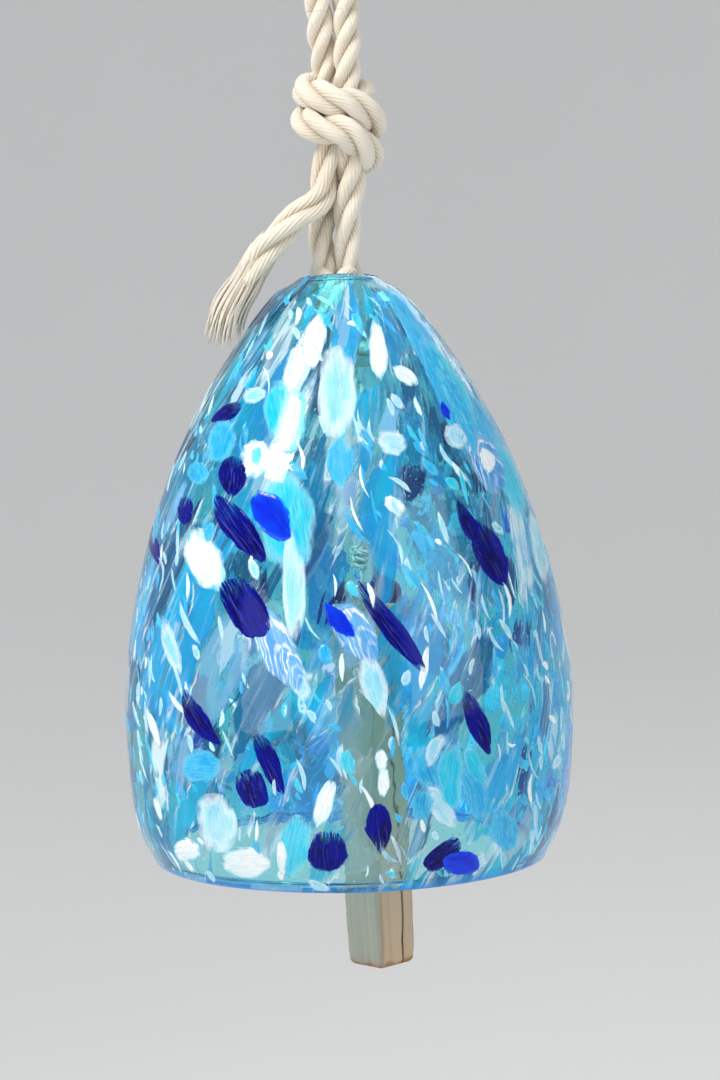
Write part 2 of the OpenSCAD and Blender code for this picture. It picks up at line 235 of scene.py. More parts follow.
class Recipe:
    """A material's node tree, built node by node."""

    def __init__(self, name: str) -> None:
        """Starts an empty node tree."""
        self.material = bpy.data.materials.new(name)
        self.material.use_nodes = True
        self.tree = self.material.node_tree
        self.tree.nodes.clear()

    def add(self, kind: str, inputs: dict | None = None, **settings: object) -> bpy.types.Node:
        """Adds a node.

        Args:
            kind: the node's type, without its ShaderNode prefix.
            inputs: a value or a linked socket for each input, by name or number.
            settings: the node's own settings.

        Returns:
            The new node.
        """
        node = self.tree.nodes.new("ShaderNode" + kind)
        for key, value in settings.items():
            setattr(node, key, value)
        for key, value in (inputs or {}).items():
            if isinstance(value, Socket):
                self.tree.links.new(value, node.inputs[key])
            else:
                node.inputs[key].default_value = value
        return node

    def attribute(self, name: str) -> Socket:
        """A vector that the mesh stores under this name."""
        return self.add("Attribute", attribute_name=name).outputs["Vector"]

    def value(self, name: str) -> Socket:
        """A number that the mesh stores under this name."""
        return self.add("Attribute", attribute_name=name).outputs["Fac"]

    def place(self) -> Socket:
        """Object coordinates."""
        return self.add("TexCoord").outputs["Object"]

    def scaled(self, vector: Socket, scale: Point, turn: Point = (0, 0, 0)) -> Socket:
        """The vector after a Mapping node."""
        return self.add("Mapping", {"Vector": vector, "Scale": scale,
                                    "Rotation": turn}).outputs["Vector"]

    def noise(self, vector: Socket, scale: float, detail: float = 3, roughness: float = 0.5,
              warp: float = 0) -> Socket:
        """The grey value of a noise texture."""
        return self.add("TexNoise", {"Vector": vector, "Scale": scale, "Detail": detail,
                                     "Roughness": roughness, "Distortion": warp}).outputs["Fac"]

    def shift_by_noise(self, vector: Socket, scale: float, amount: float) -> Socket:
        """The vector, pushed about by a noise texture's colours."""
        colours = self.add("TexNoise", {"Vector": vector, "Scale": scale, "Detail": 2.0})
        centred = self.add("VectorMath", {0: colours.outputs["Color"], 1: (0.5, 0.5, 0.5)},
                           operation="SUBTRACT").outputs[0]
        push = self.add("VectorMath", {0: centred, "Scale": amount}, operation="SCALE").outputs[0]
        return self.add("VectorMath", {0: vector, 1: push}, operation="ADD").outputs[0]

    def maths(self, operation: str, a: object, b: object = 0.0, clamp: bool = False) -> Socket:
        """The result of a Math node."""
        return self.add("Math", {0: a, 1: b}, operation=operation, use_clamp=clamp).outputs[0]

    def times(self, a: object, b: object, clamp: bool = False) -> Socket:
        """The product of a and b."""
        return self.maths("MULTIPLY", a, b, clamp)

    def plus(self, a: object, b: object) -> Socket:
        """The sum of a and b."""
        return self.maths("ADD", a, b)

    def minus(self, a: object, b: object, clamp: bool = False) -> Socket:
        """What is left of a without b."""
        return self.maths("SUBTRACT", a, b, clamp)

    def larger(self, a: object, b: object) -> Socket:
        """The larger of a and b."""
        return self.maths("MAXIMUM", a, b)

    def smooth(self, value: Socket, low: float, high: float, start: float = 0,
               end: float = 1) -> Socket:
        """The value, brought smoothly from low..high to start..end."""
        node = self.add("MapRange", {"Value": value, "From Min": low, "From Max": high,
                                     "To Min": start, "To Max": end},
                        interpolation_type="SMOOTHSTEP")
        return node.outputs["Result"]

    def mix(self, factor: object, a: object, b: object, blend: str = "MIX") -> Socket:
        """The colour between a and b."""
        node = self.add("Mix", data_type="RGBA", blend_type=blend)
        for number, value in ((0, factor), (6, a), (7, b)):
            if isinstance(value, Socket):
                self.tree.links.new(value, node.inputs[number])
            else:
                node.inputs[number].default_value = value
        return node.outputs[2]

    def let_in(self, surface: Socket, tint: Colour, share: float) -> Socket:
        """The surface, seen by shadow rays as clear, so that light reaches what hangs inside.

        Args:
            surface: the shader that every other ray sees.
            tint: the colour of the light that passes.
            share: how much of the shadow rays pass the surface by.

        Returns:
            The shader.
        """
        clear = self.add("BsdfTransparent", {"Color": tint}).outputs[0]
        ray = self.times(self.add("LightPath").outputs["Is Shadow Ray"], share)
        return self.add("MixShader", {0: ray, 1: surface, 2: clear}).outputs[0]

    def bump(self, height: Socket, strength: float, distance: float,
             normal: Socket | None = None) -> Socket:
        """The normal of a Bump node, on top of another if one is given."""
        inputs = {"Height": height, "Strength": strength, "Distance": distance}
        if normal is not None:
            inputs["Normal"] = normal
        return self.add("Bump", inputs).outputs["Normal"]

    def principled(self, **inputs: object) -> Socket:
        """The shader of a Principled BSDF, its inputs named with _ for a space."""
        named = {key.replace("_", " "): value for key, value in inputs.items()}
        return self.add("BsdfPrincipled", named).outputs["BSDF"]

    def finish(self, surface: Socket, volume: Socket | None = None) -> bpy.types.Material:
        """Links the shaders to the output and hands the material over."""
        inputs = {"Surface": surface}
        if volume is not None:
            inputs["Volume"] = volume
        self.add("OutputMaterial", inputs)
        return self.material


@dataclass(frozen=True)
class CottonFinish:
    """Natural cotton yarn, with darker, warmer painted shade in the grooves between its yarns and
    strands.
    """

    name: str
    ridge: Colour = (0.87, 0.80, 0.68, 1)
    # The colour of the painted shade deep in the grooves.
    groove_shade: Colour = (0.50, 0.37, 0.23, 1)
    stain: Colour = (0.74, 0.63, 0.48, 1)
    fibre_scale: float = 1.0

    def material(self) -> bpy.types.Material:
        """Cotton with fine fibres, slow changes of tone and painted shade in its yarn grooves.

        Returns:
            The finished material.
        """
        recipe = Recipe(self.name)
        lay = recipe.attribute("lay")
        fibres = recipe.noise(recipe.scaled(lay, (520 * self.fibre_scale, 5.0, 1)), 1.0, 4, 0.6)
        tufts = recipe.noise(recipe.scaled(lay, (160 * self.fibre_scale, 1.2, 1)), 1.0, 2, 0.5)
        tone = recipe.noise(recipe.place(), 90, 3, 0.55)
        painted_shade = recipe.smooth(recipe.value("groove_shade"), 0.1, 1.0)
        base = recipe.mix(recipe.smooth(tone, 0.45, 0.75, 0, 0.55), self.ridge, self.stain)
        base = recipe.mix(recipe.smooth(fibres, 0.5, 0.85, 0, 0.35), base, self.stain)
        # Painted shade: the stored groove shade darkens the colour between yarns and strands.
        base = recipe.mix(recipe.times(painted_shade, 0.8), base, self.groove_shade)
        normal = recipe.bump(tufts, 0.35, 0.0004)
        normal = recipe.bump(fibres, 0.85, 0.00022, normal)
        return recipe.finish(recipe.principled(
            Base_Color=base, Roughness=recipe.smooth(fibres, 0.2, 0.8, 0.82, 0.95),
            Normal=normal, Specular_IOR_Level=0.25, Sheen_Weight=0.35, Sheen_Roughness=0.5))


@dataclass(frozen=True)
class WeatheredWoodFinish:
    """Bare softwood, greyer and darker on its left side and tan on its right, brown at its worn end.
    """

    tan: Colour = (0.58, 0.41, 0.27, 1)
    grey: Colour = (0.35, 0.295, 0.24, 1)
    dark: Colour = (0.10, 0.065, 0.042, 1)
    rust: Colour = (0.25, 0.12, 0.055, 1)
    pale: Colour = (0.68, 0.60, 0.48, 1)
    # The colour of the painted shade at the bottom of the crack.
    crack: Colour = (0.012, 0.008, 0.006, 1)
    bottom: float = -0.295
    worn_from: float = 0.0042
    worn_full: float = 0.0022

    def material(self) -> bpy.types.Material:
        """Wood with long grain, dark late wood, fine checks, a stained lower end and painted shade in
        its crack.

        Returns:
            The finished material.
        """
        recipe = Recipe("weathered_softwood")
        place = recipe.place()
        warped = recipe.shift_by_noise(recipe.scaled(place, (1, 1, 0.08)), 160, 0.0028)
        grain = recipe.noise(recipe.scaled(warped, (420, 420, 90)), 1.0, 5, 0.62)
        rings = recipe.add("TexWave", {"Vector": recipe.scaled(warped, (1, 1, 1), (0, 0, 0.2)),
                                       "Scale": 150.0, "Distortion": 4.5, "Detail": 3.0,
                                       "Detail Scale": 1.2}, wave_type="BANDS",
                           bands_direction="X", wave_profile="SAW").outputs["Fac"]
        checks = recipe.noise(recipe.scaled(place, (900, 900, 22)), 1.0, 2, 0.5)
        parts = recipe.add("SeparateXYZ", {0: place})
        # Greyer, darker colour on the stick's left side and tan on its right, split along X.
        base = recipe.mix(recipe.smooth(parts.outputs["X"], -0.0012, 0.0016), self.grey, self.tan)
        base = recipe.mix(recipe.smooth(rings, 0.55, 1.0, 0, 0.09), base, self.dark)
        base = recipe.mix(recipe.smooth(grain, 0.52, 0.78, 0, 0.38), base, self.dark)
        base = recipe.mix(recipe.smooth(grain, 0.42, 0.2, 0, 0.5), base, self.pale)
        base = recipe.mix(recipe.smooth(checks, 0.68, 0.74, 0, 0.85), base, self.dark)
        patch = recipe.noise(place, 330, 3, 0.6)
        height = recipe.plus(parts.outputs["Z"], recipe.times(patch, 0.004))
        worn = recipe.smooth(height, self.bottom + self.worn_from, self.bottom + self.worn_full,
                             0, 0.85)
        base = recipe.mix(worn, base, self.rust)
        # Painted shade: the bottom of the crack's groove is coloured near black.
        base = recipe.mix(recipe.times(recipe.value("crack"), 0.93), base, self.crack)
        normal = recipe.bump(grain, 0.45, 0.0004)
        normal = recipe.bump(checks, 0.35, 0.0003, normal)
        return recipe.finish(recipe.principled(
            Base_Color=base, Roughness=recipe.smooth(grain, 0.3, 0.7, 0.68, 0.86),
            Normal=normal, Specular_IOR_Level=0.3))


@dataclass(frozen=True)
class PlatedSteelFinish:
    """Plain plated wire with fine drawing lines and a few dull spots."""

    bright: Colour = (0.62, 0.63, 0.64, 1)
    dull: Colour = (0.30, 0.29, 0.27, 1)

    def material(self) -> bpy.types.Material:
        """Metal with spots of dull plating.

        Returns:
            The finished material.
        """
        recipe = Recipe("plated_wire")
        spots = recipe.noise(recipe.place(), 900, 4, 0.6)
        lines = recipe.noise(recipe.scaled(recipe.place(), (400, 400, 4000)), 1.0, 2, 0.5)
        base = recipe.mix(recipe.smooth(spots, 0.5, 0.75, 0, 0.8), self.bright, self.dull)
        return recipe.finish(recipe.principled(
            Base_Color=base, Metallic=1.0, Roughness=recipe.smooth(spots, 0.3, 0.8, 0.22, 0.5),
            Normal=recipe.bump(lines, 0.2, 0.0001)))


@dataclass(frozen=True)
class BlownGlassFinish:
    """Clear aqua glass with drawn-out clouds, flakes and threads of turquoise and white in it."""

    clear: Colour = (0.50, 0.94, 0.985, 1)
    pale: Colour = (0.93, 0.975, 0.98, 1)
    depth_tint: Colour = (0.0, 0.855, 0.955, 1)
    depth_strength: float = 95.0
    turquoise: Colour = (0.0, 0.11, 0.27, 1)
    cyan: Colour = (0.0, 0.52, 0.80, 1)
    sky: Colour = (0.01, 0.40, 0.80, 1)
    milk: Colour = (0.76, 0.93, 0.98, 1)
    shadow_tint: Colour = (0.97, 0.99, 1.0, 1)
    lip: Colour = (0.0, 0.32, 0.80, 1)

    def material(self) -> bpy.types.Material:
        """Glass with the melted colour in its outer skin, and light let in for what hangs inside.

        Returns:
            The finished material.
        """
        recipe = Recipe("aqua_glass")
        flow = recipe.attribute("flow")
        drawn = recipe.shift_by_noise(recipe.scaled(flow, (1, 1, 0.40)), 48, 0.013)
        feathered = recipe.shift_by_noise(drawn, 300, 0.0034)
        clouds = recipe.noise(recipe.scaled(flow, (1, 1, 0.45)), 34, 3, 0.55, 0.4)
        threads = recipe.noise(recipe.scaled(drawn, (1, 1, 0.16)), 460, 4, 0.62)
        cover, tint = self.flakes(recipe, feathered, threads, clouds, scale=92.0, least=0.34)
        small_cover, small_tint = self.flakes(recipe, feathered, threads, clouds,
                                              scale=210.0, least=0.55)
        small_cover = recipe.times(small_cover, 0.85)
        tint = recipe.mix(small_cover, tint, small_tint)
        streak = recipe.times(recipe.smooth(threads, 0.60, 0.74),
                              recipe.smooth(clouds, 0.40, 0.62, 0.02, 0.7))
        tint = recipe.mix(streak, tint, self.milk)
        cover = recipe.larger(recipe.larger(cover, small_cover), streak)
        cover = recipe.times(cover, recipe.value("outer"), clamp=True)
        cover = recipe.times(cover, recipe.minus(1.0, recipe.value("window")))
        lip = recipe.times(recipe.value("lip"), recipe.smooth(threads, 0.3, 0.6, 0.45, 1))
        tint = recipe.mix(lip, tint, self.lip)
        cover = recipe.larger(cover, recipe.times(lip, 0.85))
        clear = recipe.mix(recipe.value("pale"), self.clear, self.pale)
        colour = recipe.mix(recipe.smooth(cover, 0.0, 0.35), clear, tint)
        glass = recipe.principled(
            Base_Color=colour, Roughness=0.015, IOR=1.5, Normal=self.surface(recipe, flow, drawn),
            Transmission_Weight=recipe.minus(1.0, recipe.times(cover, 0.9), clamp=True))
        depth = recipe.add("VolumeAbsorption", {"Color": self.depth_tint,
                                                "Density": self.depth_strength}).outputs[0]
        return recipe.finish(recipe.let_in(glass, self.shadow_tint, 1.0), depth)

    def flakes(self, recipe: Recipe, place: Socket, threads: Socket, clouds: Socket, scale: float,
               least: float) -> tuple[Socket, Socket]:
        """Flakes of melted colour with feathered ends and a pale line along parts of their edges.

        Args:
            recipe: the material that is being built.
            place: where the pattern is read.
            threads: fine threads along the flow.
            clouds: slow changes over the bell.
            scale: how many flakes there are in a metre.
            least: the share of the flakes that is left clear.

        Returns:
            How much the flakes cover, and their colour.
        """
        cell = recipe.add("TexVoronoi", {"Vector": place, "Scale": scale}, feature="F1")
        edge = recipe.add("TexVoronoi", {"Vector": place, "Scale": scale},
                          feature="DISTANCE_TO_EDGE").outputs["Distance"]
        kind = recipe.add("SeparateColor", {0: cell.outputs["Color"]}).outputs
        dense = recipe.plus(kind[0], recipe.smooth(clouds, 0.35, 0.7, -0.30, 0.25))
        dense = recipe.plus(dense, recipe.smooth(threads, 0.3, 0.7, -0.09, 0.09))
        body = recipe.smooth(dense, least, least + 0.12)
        rim = recipe.times(recipe.smooth(edge, 0.085, 0.0), recipe.smooth(threads, 0.46, 0.6))
        cover = recipe.times(body, recipe.smooth(edge, 0.0, 0.10))
        cover = recipe.times(cover, recipe.smooth(kind[1], 0.0, 1.0, 0.30, 0.92))
        cover = recipe.larger(cover, recipe.times(recipe.times(rim, body), 0.75))
        tint = recipe.mix(recipe.smooth(kind[2], 0.15, 0.40), self.turquoise, self.cyan)
        tint = recipe.mix(recipe.smooth(kind[2], 0.45, 0.62), tint, self.sky)
        tint = recipe.mix(recipe.smooth(kind[2], 0.74, 0.9), tint, self.milk)
        tint = recipe.mix(recipe.smooth(threads, 0.50, 0.72, 0, 0.32), tint, self.milk)
        return cover, recipe.mix(rim, tint, self.milk)

    def surface(self, recipe: Recipe, flow: Socket, drawn: Socket) -> Socket:
        """The blown skin: slow waves, drawn ripples and small seeds.

        Args:
            recipe: the material that is being built.
            flow: the place along the melt.
            drawn: the same, pushed about.

        Returns:
            The normal.
        """
        waves = recipe.noise(recipe.scaled(flow, (1, 1, 0.25)), 60, 2, 0.5)
        ripple = recipe.noise(recipe.scaled(drawn, (1, 1, 0.5)), 260, 2, 0.5)
        seeds = recipe.add("TexVoronoi", {"Vector": flow, "Scale": 520.0},
                           feature="F1").outputs["Distance"]
        normal = recipe.bump(waves, 0.30, 0.0012)
        normal = recipe.bump(ripple, 0.22, 0.0003, normal)
        return recipe.bump(recipe.smooth(seeds, 0.16, 0.02), 0.25, 0.0002, normal)


class ChipColour(Enum):
    """The kinds of coloured glass that were rolled into the bell."""

    NAVY = "navy"
    COBALT = "cobalt"
    MILK = "milk"
    ICE = "ice"
    SKY = "sky"
    AQUA = "aqua"
    AGATE = "agate"


@dataclass(frozen=True)
class ChipFinish:
    """One colour of melted chip: its heart, its rim, its streaks and how clearly it ends."""

    colour: ChipColour
    heart: Colour
    rim: Colour
    streak: Colour
    streak_share: float = 0.4
    rim_start: float = 0.62
    opacity: float = 1.0
    streak_clear: float = 0.0
    fade_start: float = 0.86
    banded: bool = False
    gloss: float = 0.5
    tone_share: float = 0.35
    feather: float = 0.0
    shadow_tint: Colour = (0.92, 0.97, 1.0, 1)
    shadow_share: float = 0.7
    curl: float = 0.9
    fine: float = 1.2

    def material(self) -> bpy.types.Material:
        """Melted glass with streaks along the chip, a rim of its own and a soft edge.

        Returns:
            The finished material.
        """
        recipe = Recipe(self.colour.value + "_glass_chip")
        spot = recipe.attribute("chip_spot")
        seed = recipe.value("chip_seed")
        shift = recipe.add("CombineXYZ", {0: recipe.times(seed, 17.0),
                                          1: recipe.times(seed, 5.0), 2: seed}).outputs[0]
        moved = recipe.add("VectorMath", {0: spot, 1: shift}, operation="ADD").outputs[0]
        distance = recipe.add("VectorMath", {0: spot}, operation="LENGTH").outputs["Value"]
        wobble = recipe.times(recipe.minus(recipe.noise(moved, 2.2, 3, 0.5), 0.5), 0.5)
        reach = recipe.plus(distance, wobble)
        lines = recipe.noise(recipe.scaled(moved, (0.8, 5, 1)), 1.6, self.fine, 0.55, self.curl)
        tone = recipe.noise(moved, 1.3, 2, 0.5)
        parts = recipe.add("SeparateXYZ", {0: spot}).outputs
        base = recipe.mix(recipe.smooth(lines, 0.5, 0.72, 0, self.streak_share), self.heart,
                          self.streak)
        base = recipe.mix(recipe.smooth(tone, 0.35, 0.7, 0, self.tone_share), base, self.rim)
        base = recipe.mix(recipe.smooth(reach, self.rim_start, self.rim_start + 0.3),
                          base, self.rim)
        if self.banded:
            ahead, across = parts["X"], recipe.plus(parts["Y"], 0.25)
            bowed = recipe.times(recipe.times(across, across), 1.5)
            folded = recipe.plus(recipe.plus(ahead, bowed), recipe.times(wobble, 0.9))
            spacing = recipe.smooth(tone, 0.3, 0.7, 9.5, 14.5)
            bands = recipe.maths("SINE", recipe.times(folded, spacing))
            strength = recipe.times(recipe.smooth(folded, -0.5, 0.9, 0.35, 1.0),
                                    recipe.smooth(lines, 0.36, 0.60, 0.25, 1.0))
            base = recipe.mix(recipe.times(recipe.smooth(bands, 0.1, 0.95), strength),
                              base, self.streak)
        fade = recipe.smooth(reach, self.fade_start, 1.0, self.opacity, 0)
        threads = recipe.noise(recipe.scaled(moved, (0.7, 3.5, 1)), 1.7, self.fine, 0.55, self.curl)
        fade = recipe.times(fade, recipe.smooth(threads, 0.44, 0.60, 1, 1 - self.streak_clear))
        if self.feather:
            hairs = recipe.noise(recipe.scaled(moved, (0.5, 8, 1)), 1.5, 3, 0.6)
            upper = recipe.smooth(recipe.plus(parts["X"], wobble), 0.15, 0.85)
            torn = recipe.times(upper, recipe.smooth(hairs, 0.44, 0.54, 0, self.feather))
            fade = recipe.times(fade, recipe.minus(1.0, torn))
        glass = recipe.principled(
            Base_Color=base, Roughness=0.06, IOR=1.5, Alpha=fade, Specular_IOR_Level=self.gloss,
            Normal=recipe.bump(lines, 0.12, 0.0002))
        return recipe.finish(recipe.let_in(glass, self.shadow_tint, self.shadow_share))


CHIP_FINISHES = (
    ChipFinish(ChipColour.NAVY, heart=(0.001, 0.001, 0.09, 1), rim=(0.0, 0.004, 0.28, 1),
               streak=(0.05, 0.06, 0.50, 1), streak_share=0.85, rim_start=0.72, fade_start=0.90,
               gloss=0.15, tone_share=0.8, feather=0.95, fine=4.0),
    ChipFinish(ChipColour.COBALT, heart=(0.0, 0.02, 0.70, 1), rim=(0.0, 0.08, 0.86, 1),
               streak=(0.0, 0.006, 0.36, 1), streak_share=0.7, rim_start=0.7, fade_start=0.88,
               gloss=0.25),
    ChipFinish(ChipColour.MILK, heart=(0.95, 0.97, 0.98, 1), rim=(0.42, 0.83, 0.95, 1),
               streak=(0.74, 0.90, 0.96, 1), streak_share=0.3, rim_start=0.72, streak_clear=0.15,
               fade_start=0.80, curl=1.6),
    ChipFinish(ChipColour.ICE, heart=(0.33, 0.78, 0.93, 1), rim=(0.84, 0.96, 1.0, 1),
               streak=(0.12, 0.62, 0.88, 1), streak_share=0.40, rim_start=0.56, opacity=0.88,
               streak_clear=0.22, fade_start=0.70, curl=2.6),
    ChipFinish(ChipColour.SKY, heart=(0.005, 0.44, 0.83, 1), rim=(0.22, 0.76, 0.96, 1),
               streak=(0.12, 0.66, 0.94, 1), streak_share=0.7, rim_start=0.70, opacity=0.92,
               streak_clear=0.32, fade_start=0.76, tone_share=0.25, curl=1.8),
    ChipFinish(ChipColour.AQUA, heart=(0.0, 0.62, 0.86, 1), rim=(0.48, 0.90, 0.98, 1),
               streak=(0.10, 0.78, 0.94, 1), streak_share=0.6, rim_start=0.72, opacity=0.90,
               streak_clear=0.28, fade_start=0.76, tone_share=0.2, curl=1.8),
    ChipFinish(ChipColour.AGATE, heart=(0.03, 0.30, 0.74, 1), rim=(0.40, 0.80, 0.95, 1),
               streak=(0.92, 0.97, 1.0, 1), streak_share=0.2, rim_start=0.8, opacity=0.95,
               fade_start=0.84, banded=True),
)


@dataclass(frozen=True)
class StudioFinish:
    """Plain pale paint for the floor and its rounded wall."""

    paint: Colour = (0.75, 0.75, 0.745, 1)
    mottle: Colour = (0.715, 0.715, 0.71, 1)

    def material(self) -> bpy.types.Material:
        """Matt paint with a very faint mottle.

        Returns:
            The finished material.
        """
        recipe = Recipe("studio_paint")
        clouds = recipe.noise(recipe.place(), 3, 2, 0.5)
        base = recipe.mix(recipe.smooth(clouds, 0.3, 0.7, 0, 0.3), self.paint, self.mottle)
        return recipe.finish(recipe.principled(Base_Color=base, Roughness=0.9,
                                               Specular_IOR_Level=0.1))


@dataclass(frozen=True)
class Route:
    """An evenly spaced line with a frame that turns as little as it can along it."""

    points: Array
    along: Array
    side: Array
    back: Array
    length: Array

    @staticmethod
    def through(places: list[Point], step: float, start_side: Point = (0, -1, 0)) -> "Route":
        """A smooth route through places in millimetres.

        Args:
            places: the points that the route passes, in millimetres.
            step: the spacing of the route's own points, in metres.
            start_side: a direction that the frame starts near.

        Returns:
            The route, in metres.
        """
        known = np.array(places, float) * MM
        line = spline(np.vstack([2 * known[0] - known[1], known, 2 * known[-1] - known[-2]]), 40)
        run = distances(line)
        count = max(8, int(round(run[-1] / step)) + 1)
        length = np.linspace(0, run[-1], count)
        points = np.column_stack([np.interp(length, run, line[:, i]) for i in range(3)])
        return Route.framed(points, length, start_side)

    @staticmethod
    def framed(points: Array, length: Array, start_side: Point) -> "Route":
        """A route with its frame carried along these points."""
        along = np.gradient(points, axis=0)
        along /= np.linalg.norm(along, axis=1)[:, None]
        side = np.empty_like(points)
        last = np.array(start_side, float)
        for number, heading in enumerate(along):
            last = last - heading * (last @ heading)
            last /= np.linalg.norm(last)
            side[number] = last
        return Route(points, along, side, np.cross(along, side), length)

    def part(self, low: int, high: int) -> "Route":
        """The stretch from point low to point high, both included."""
        keep = slice(low, high + 1)
        return Route(self.points[keep], self.along[keep], self.side[keep], self.back[keep],
                     self.length[keep])

    def tube(self, thick: Array, sides: int) -> Array:
        """Places of a round tube along the route, by ring and side."""
        turn = TURN * np.arange(sides) / sides
        return (self.points[:, None, :] + thick[:, None, None]
                * (np.cos(turn)[None, :, None] * self.side[:, None, :]
                   + np.sin(turn)[None, :, None] * self.back[:, None, :]))

    def span(self) -> float:
        """The length of the route, in metres."""
        return float(self.length[-1] - self.length[0])

    def nearest(self, z: float, first: bool = True) -> int:
        """The number of the point at height z in metres, on the first or the last half."""
        half = len(self.points) // 2
        reach = np.abs(self.points[:, 2] - z)
        return int(np.argmin(reach[:half])) if first else half + int(np.argmin(reach[half:]))


@dataclass
class MeshParts:
    """Points, faces and stored values of a piece while it is put together."""

    points: list[Array] = field(default_factory=list)
    faces: list[Array] = field(default_factory=list)
    lay: list[Array] = field(default_factory=list)
    groove_shade: list[Array] = field(default_factory=list)
    count: int = 0

    def add_tube(self, rings: Array, lay: Array, groove_shade: Array) -> None:
        """Adds a closed tube.

        Args:
            rings: places by ring and side, in metres.
            lay: the yarn coordinates of each point.
            groove_shade: how much painted shade each point gets, from 0 to 1.
        """
        number, sides = rings.shape[:2]
        grid = np.arange(number * sides).reshape(number, sides) + self.count
        turned = np.roll(grid, -1, axis=1)
        walls = np.stack([grid[:-1], turned[:-1], turned[1:], grid[1:]], axis=-1).reshape(-1, 4)
        ends = []
        for ring, flip in ((grid[0], True), (grid[-1], False)):
            fan = np.stack([np.full(sides - 2, ring[0]), ring[1:-1], ring[2:]], axis=-1)
            ends.append(fan[:, ::-1] if flip else fan)
        self.points.append(rings.reshape(-1, 3))
        self.faces.extend([walls, *ends])
        self.lay.append(lay.reshape(-1, 3))
        self.groove_shade.append(groove_shade.ravel())
        self.count += number * sides

    def piece(self, name: str, material: bpy.types.Material) -> Piece:
        """Makes the object and stores the yarn values and the painted groove shade on it."""
        faces = [tuple(face) for group in self.faces for face in group.tolist()]
        piece = mesh_piece(name, np.vstack(self.points), faces, material)
        write_attribute(piece, "lay", np.vstack(self.lay))
        write_attribute(piece, "groove_shade", np.concatenate(self.groove_shade))
        return piece


@dataclass(frozen=True)
class Laid:
    """How a rope or a twine is laid up: its strands, their pitch and the yarns on each."""

    radius: float
    strands: int = 3
    pitch: float = 0.0225
    yarns: int = 13
    points_per_yarn: int = 4
    groove: float = 0.075
    offset_share: float = 0.50
    strand_share: float = 0.56
    yarn_turn: float = -1.15
    start: float = 0.0
    fibre_radius: float = 0.00003
    # How much painted shade the yarns' grooves and the strands' inner sides get, and how far in it
    # starts.
    yarn_groove_shade: float = 0.45
    strand_inner_shade: float = 1.9
    strand_shade_start: float = 0.16

    def rings(self, route: Route, strand: int, swell: Array) -> tuple[Array, ...]:
        """The rings of one strand along a route.

        Args:
            route: the rope's middle line.
            strand: the number of the strand.
            swell: a factor on the rope's radius at each point of the route.

        Returns:
            Places, yarn coordinates and depths, each by ring and side.
        """
        sides = self.yarns * self.points_per_yarn
        turn = TURN * route.length / self.pitch
        seat = turn + TURN * strand / self.strands + self.start
        around = TURN * np.arange(sides) / sides
        ridge = np.abs(np.cos(around * self.yarns / 2))
        spin = self.yarn_turn * turn + strand
        angle = around[None, :] + spin[:, None]
        size = self.radius * swell[:, None]
        own = size * self.strand_share * (1 - self.groove * (1 - ridge[None, :]))
        across = size * self.offset_share * np.cos(seat)[:, None] + own * np.cos(angle)
        depth = size * self.offset_share * np.sin(seat)[:, None] + own * np.sin(angle)
        places = (route.points[:, None, :] + across[..., None] * route.side[:, None, :]
                  + depth[..., None] * route.back[:, None, :])
        # Painted shade for the cotton's colour: more in each yarn's groove and towards the rope's
        # middle, where the strands hide each other.
        inward = 1 - np.hypot(across, depth) / (size * (self.offset_share + self.strand_share))
        groove_shade = np.clip(self.yarn_groove_shade * (1 - ridge[None, :])
                         + self.strand_inner_shade * (inward - self.strand_shade_start), 0, 1)
        lay = np.stack(np.broadcast_arrays(
            route.length[:, None], around[None, :] * self.yarns / TURN,
            np.full(angle.shape, float(strand))), axis=-1)
        return places, lay, groove_shade

    def lay_up(self, parts: MeshParts, route: Route, swell: Array | None = None) -> None:
        """Adds all strands along the route to the parts."""
        factor = np.ones(len(route.points)) if swell is None else swell
        for strand in range(self.strands):
            parts.add_tube(*self.rings(route, strand, factor))

    def fuzz(self, parts: MeshParts, route: Route, per_metre: float, longest: float,
             seed: int) -> None:
        """Adds loose fibres that stand off the rope.

        Args:
            parts: where the fibres go.
            route: the rope's middle line.
            per_metre: how many fibres a metre of rope has.
            longest: the length of the longest, in metres.
            seed: the start of the random draws.
        """
        chance = np.random.default_rng(seed)
        steps = np.linspace(0, 1, 5)
        for _ in range(int(per_metre * route.span())):
            spot = int(chance.integers(1, len(route.points) - 1))
            angle = chance.uniform(0, TURN)
            out = math.cos(angle) * route.side[spot] + math.sin(angle) * route.back[spot]
            drift = chance.uniform(-1, 1) * np.cross(route.along[spot], out) * 0.8
            heading = route.along[spot] * chance.choice([-1.0, 1.0]) * chance.uniform(0.3, 1.2)
            size = longest * chance.uniform(0.35, 1.0)
            start = route.points[spot] + out * self.radius * 0.93
            line = (start + np.outer(steps, heading + drift + out * 0.3) * size
                    + np.outer(np.sin(steps * math.pi * 0.7), out) * size * 0.28)
            hair = Route.framed(line, steps * size, tuple(out + 0.1 * route.along[spot]))
            rings = hair.tube(self.fibre_radius * (1.15 - steps), 3)
            # Each loose fibre gets a faint painted shade.
            parts.add_tube(rings, np.zeros(rings.shape), np.full(rings.shape[:2], 0.15))


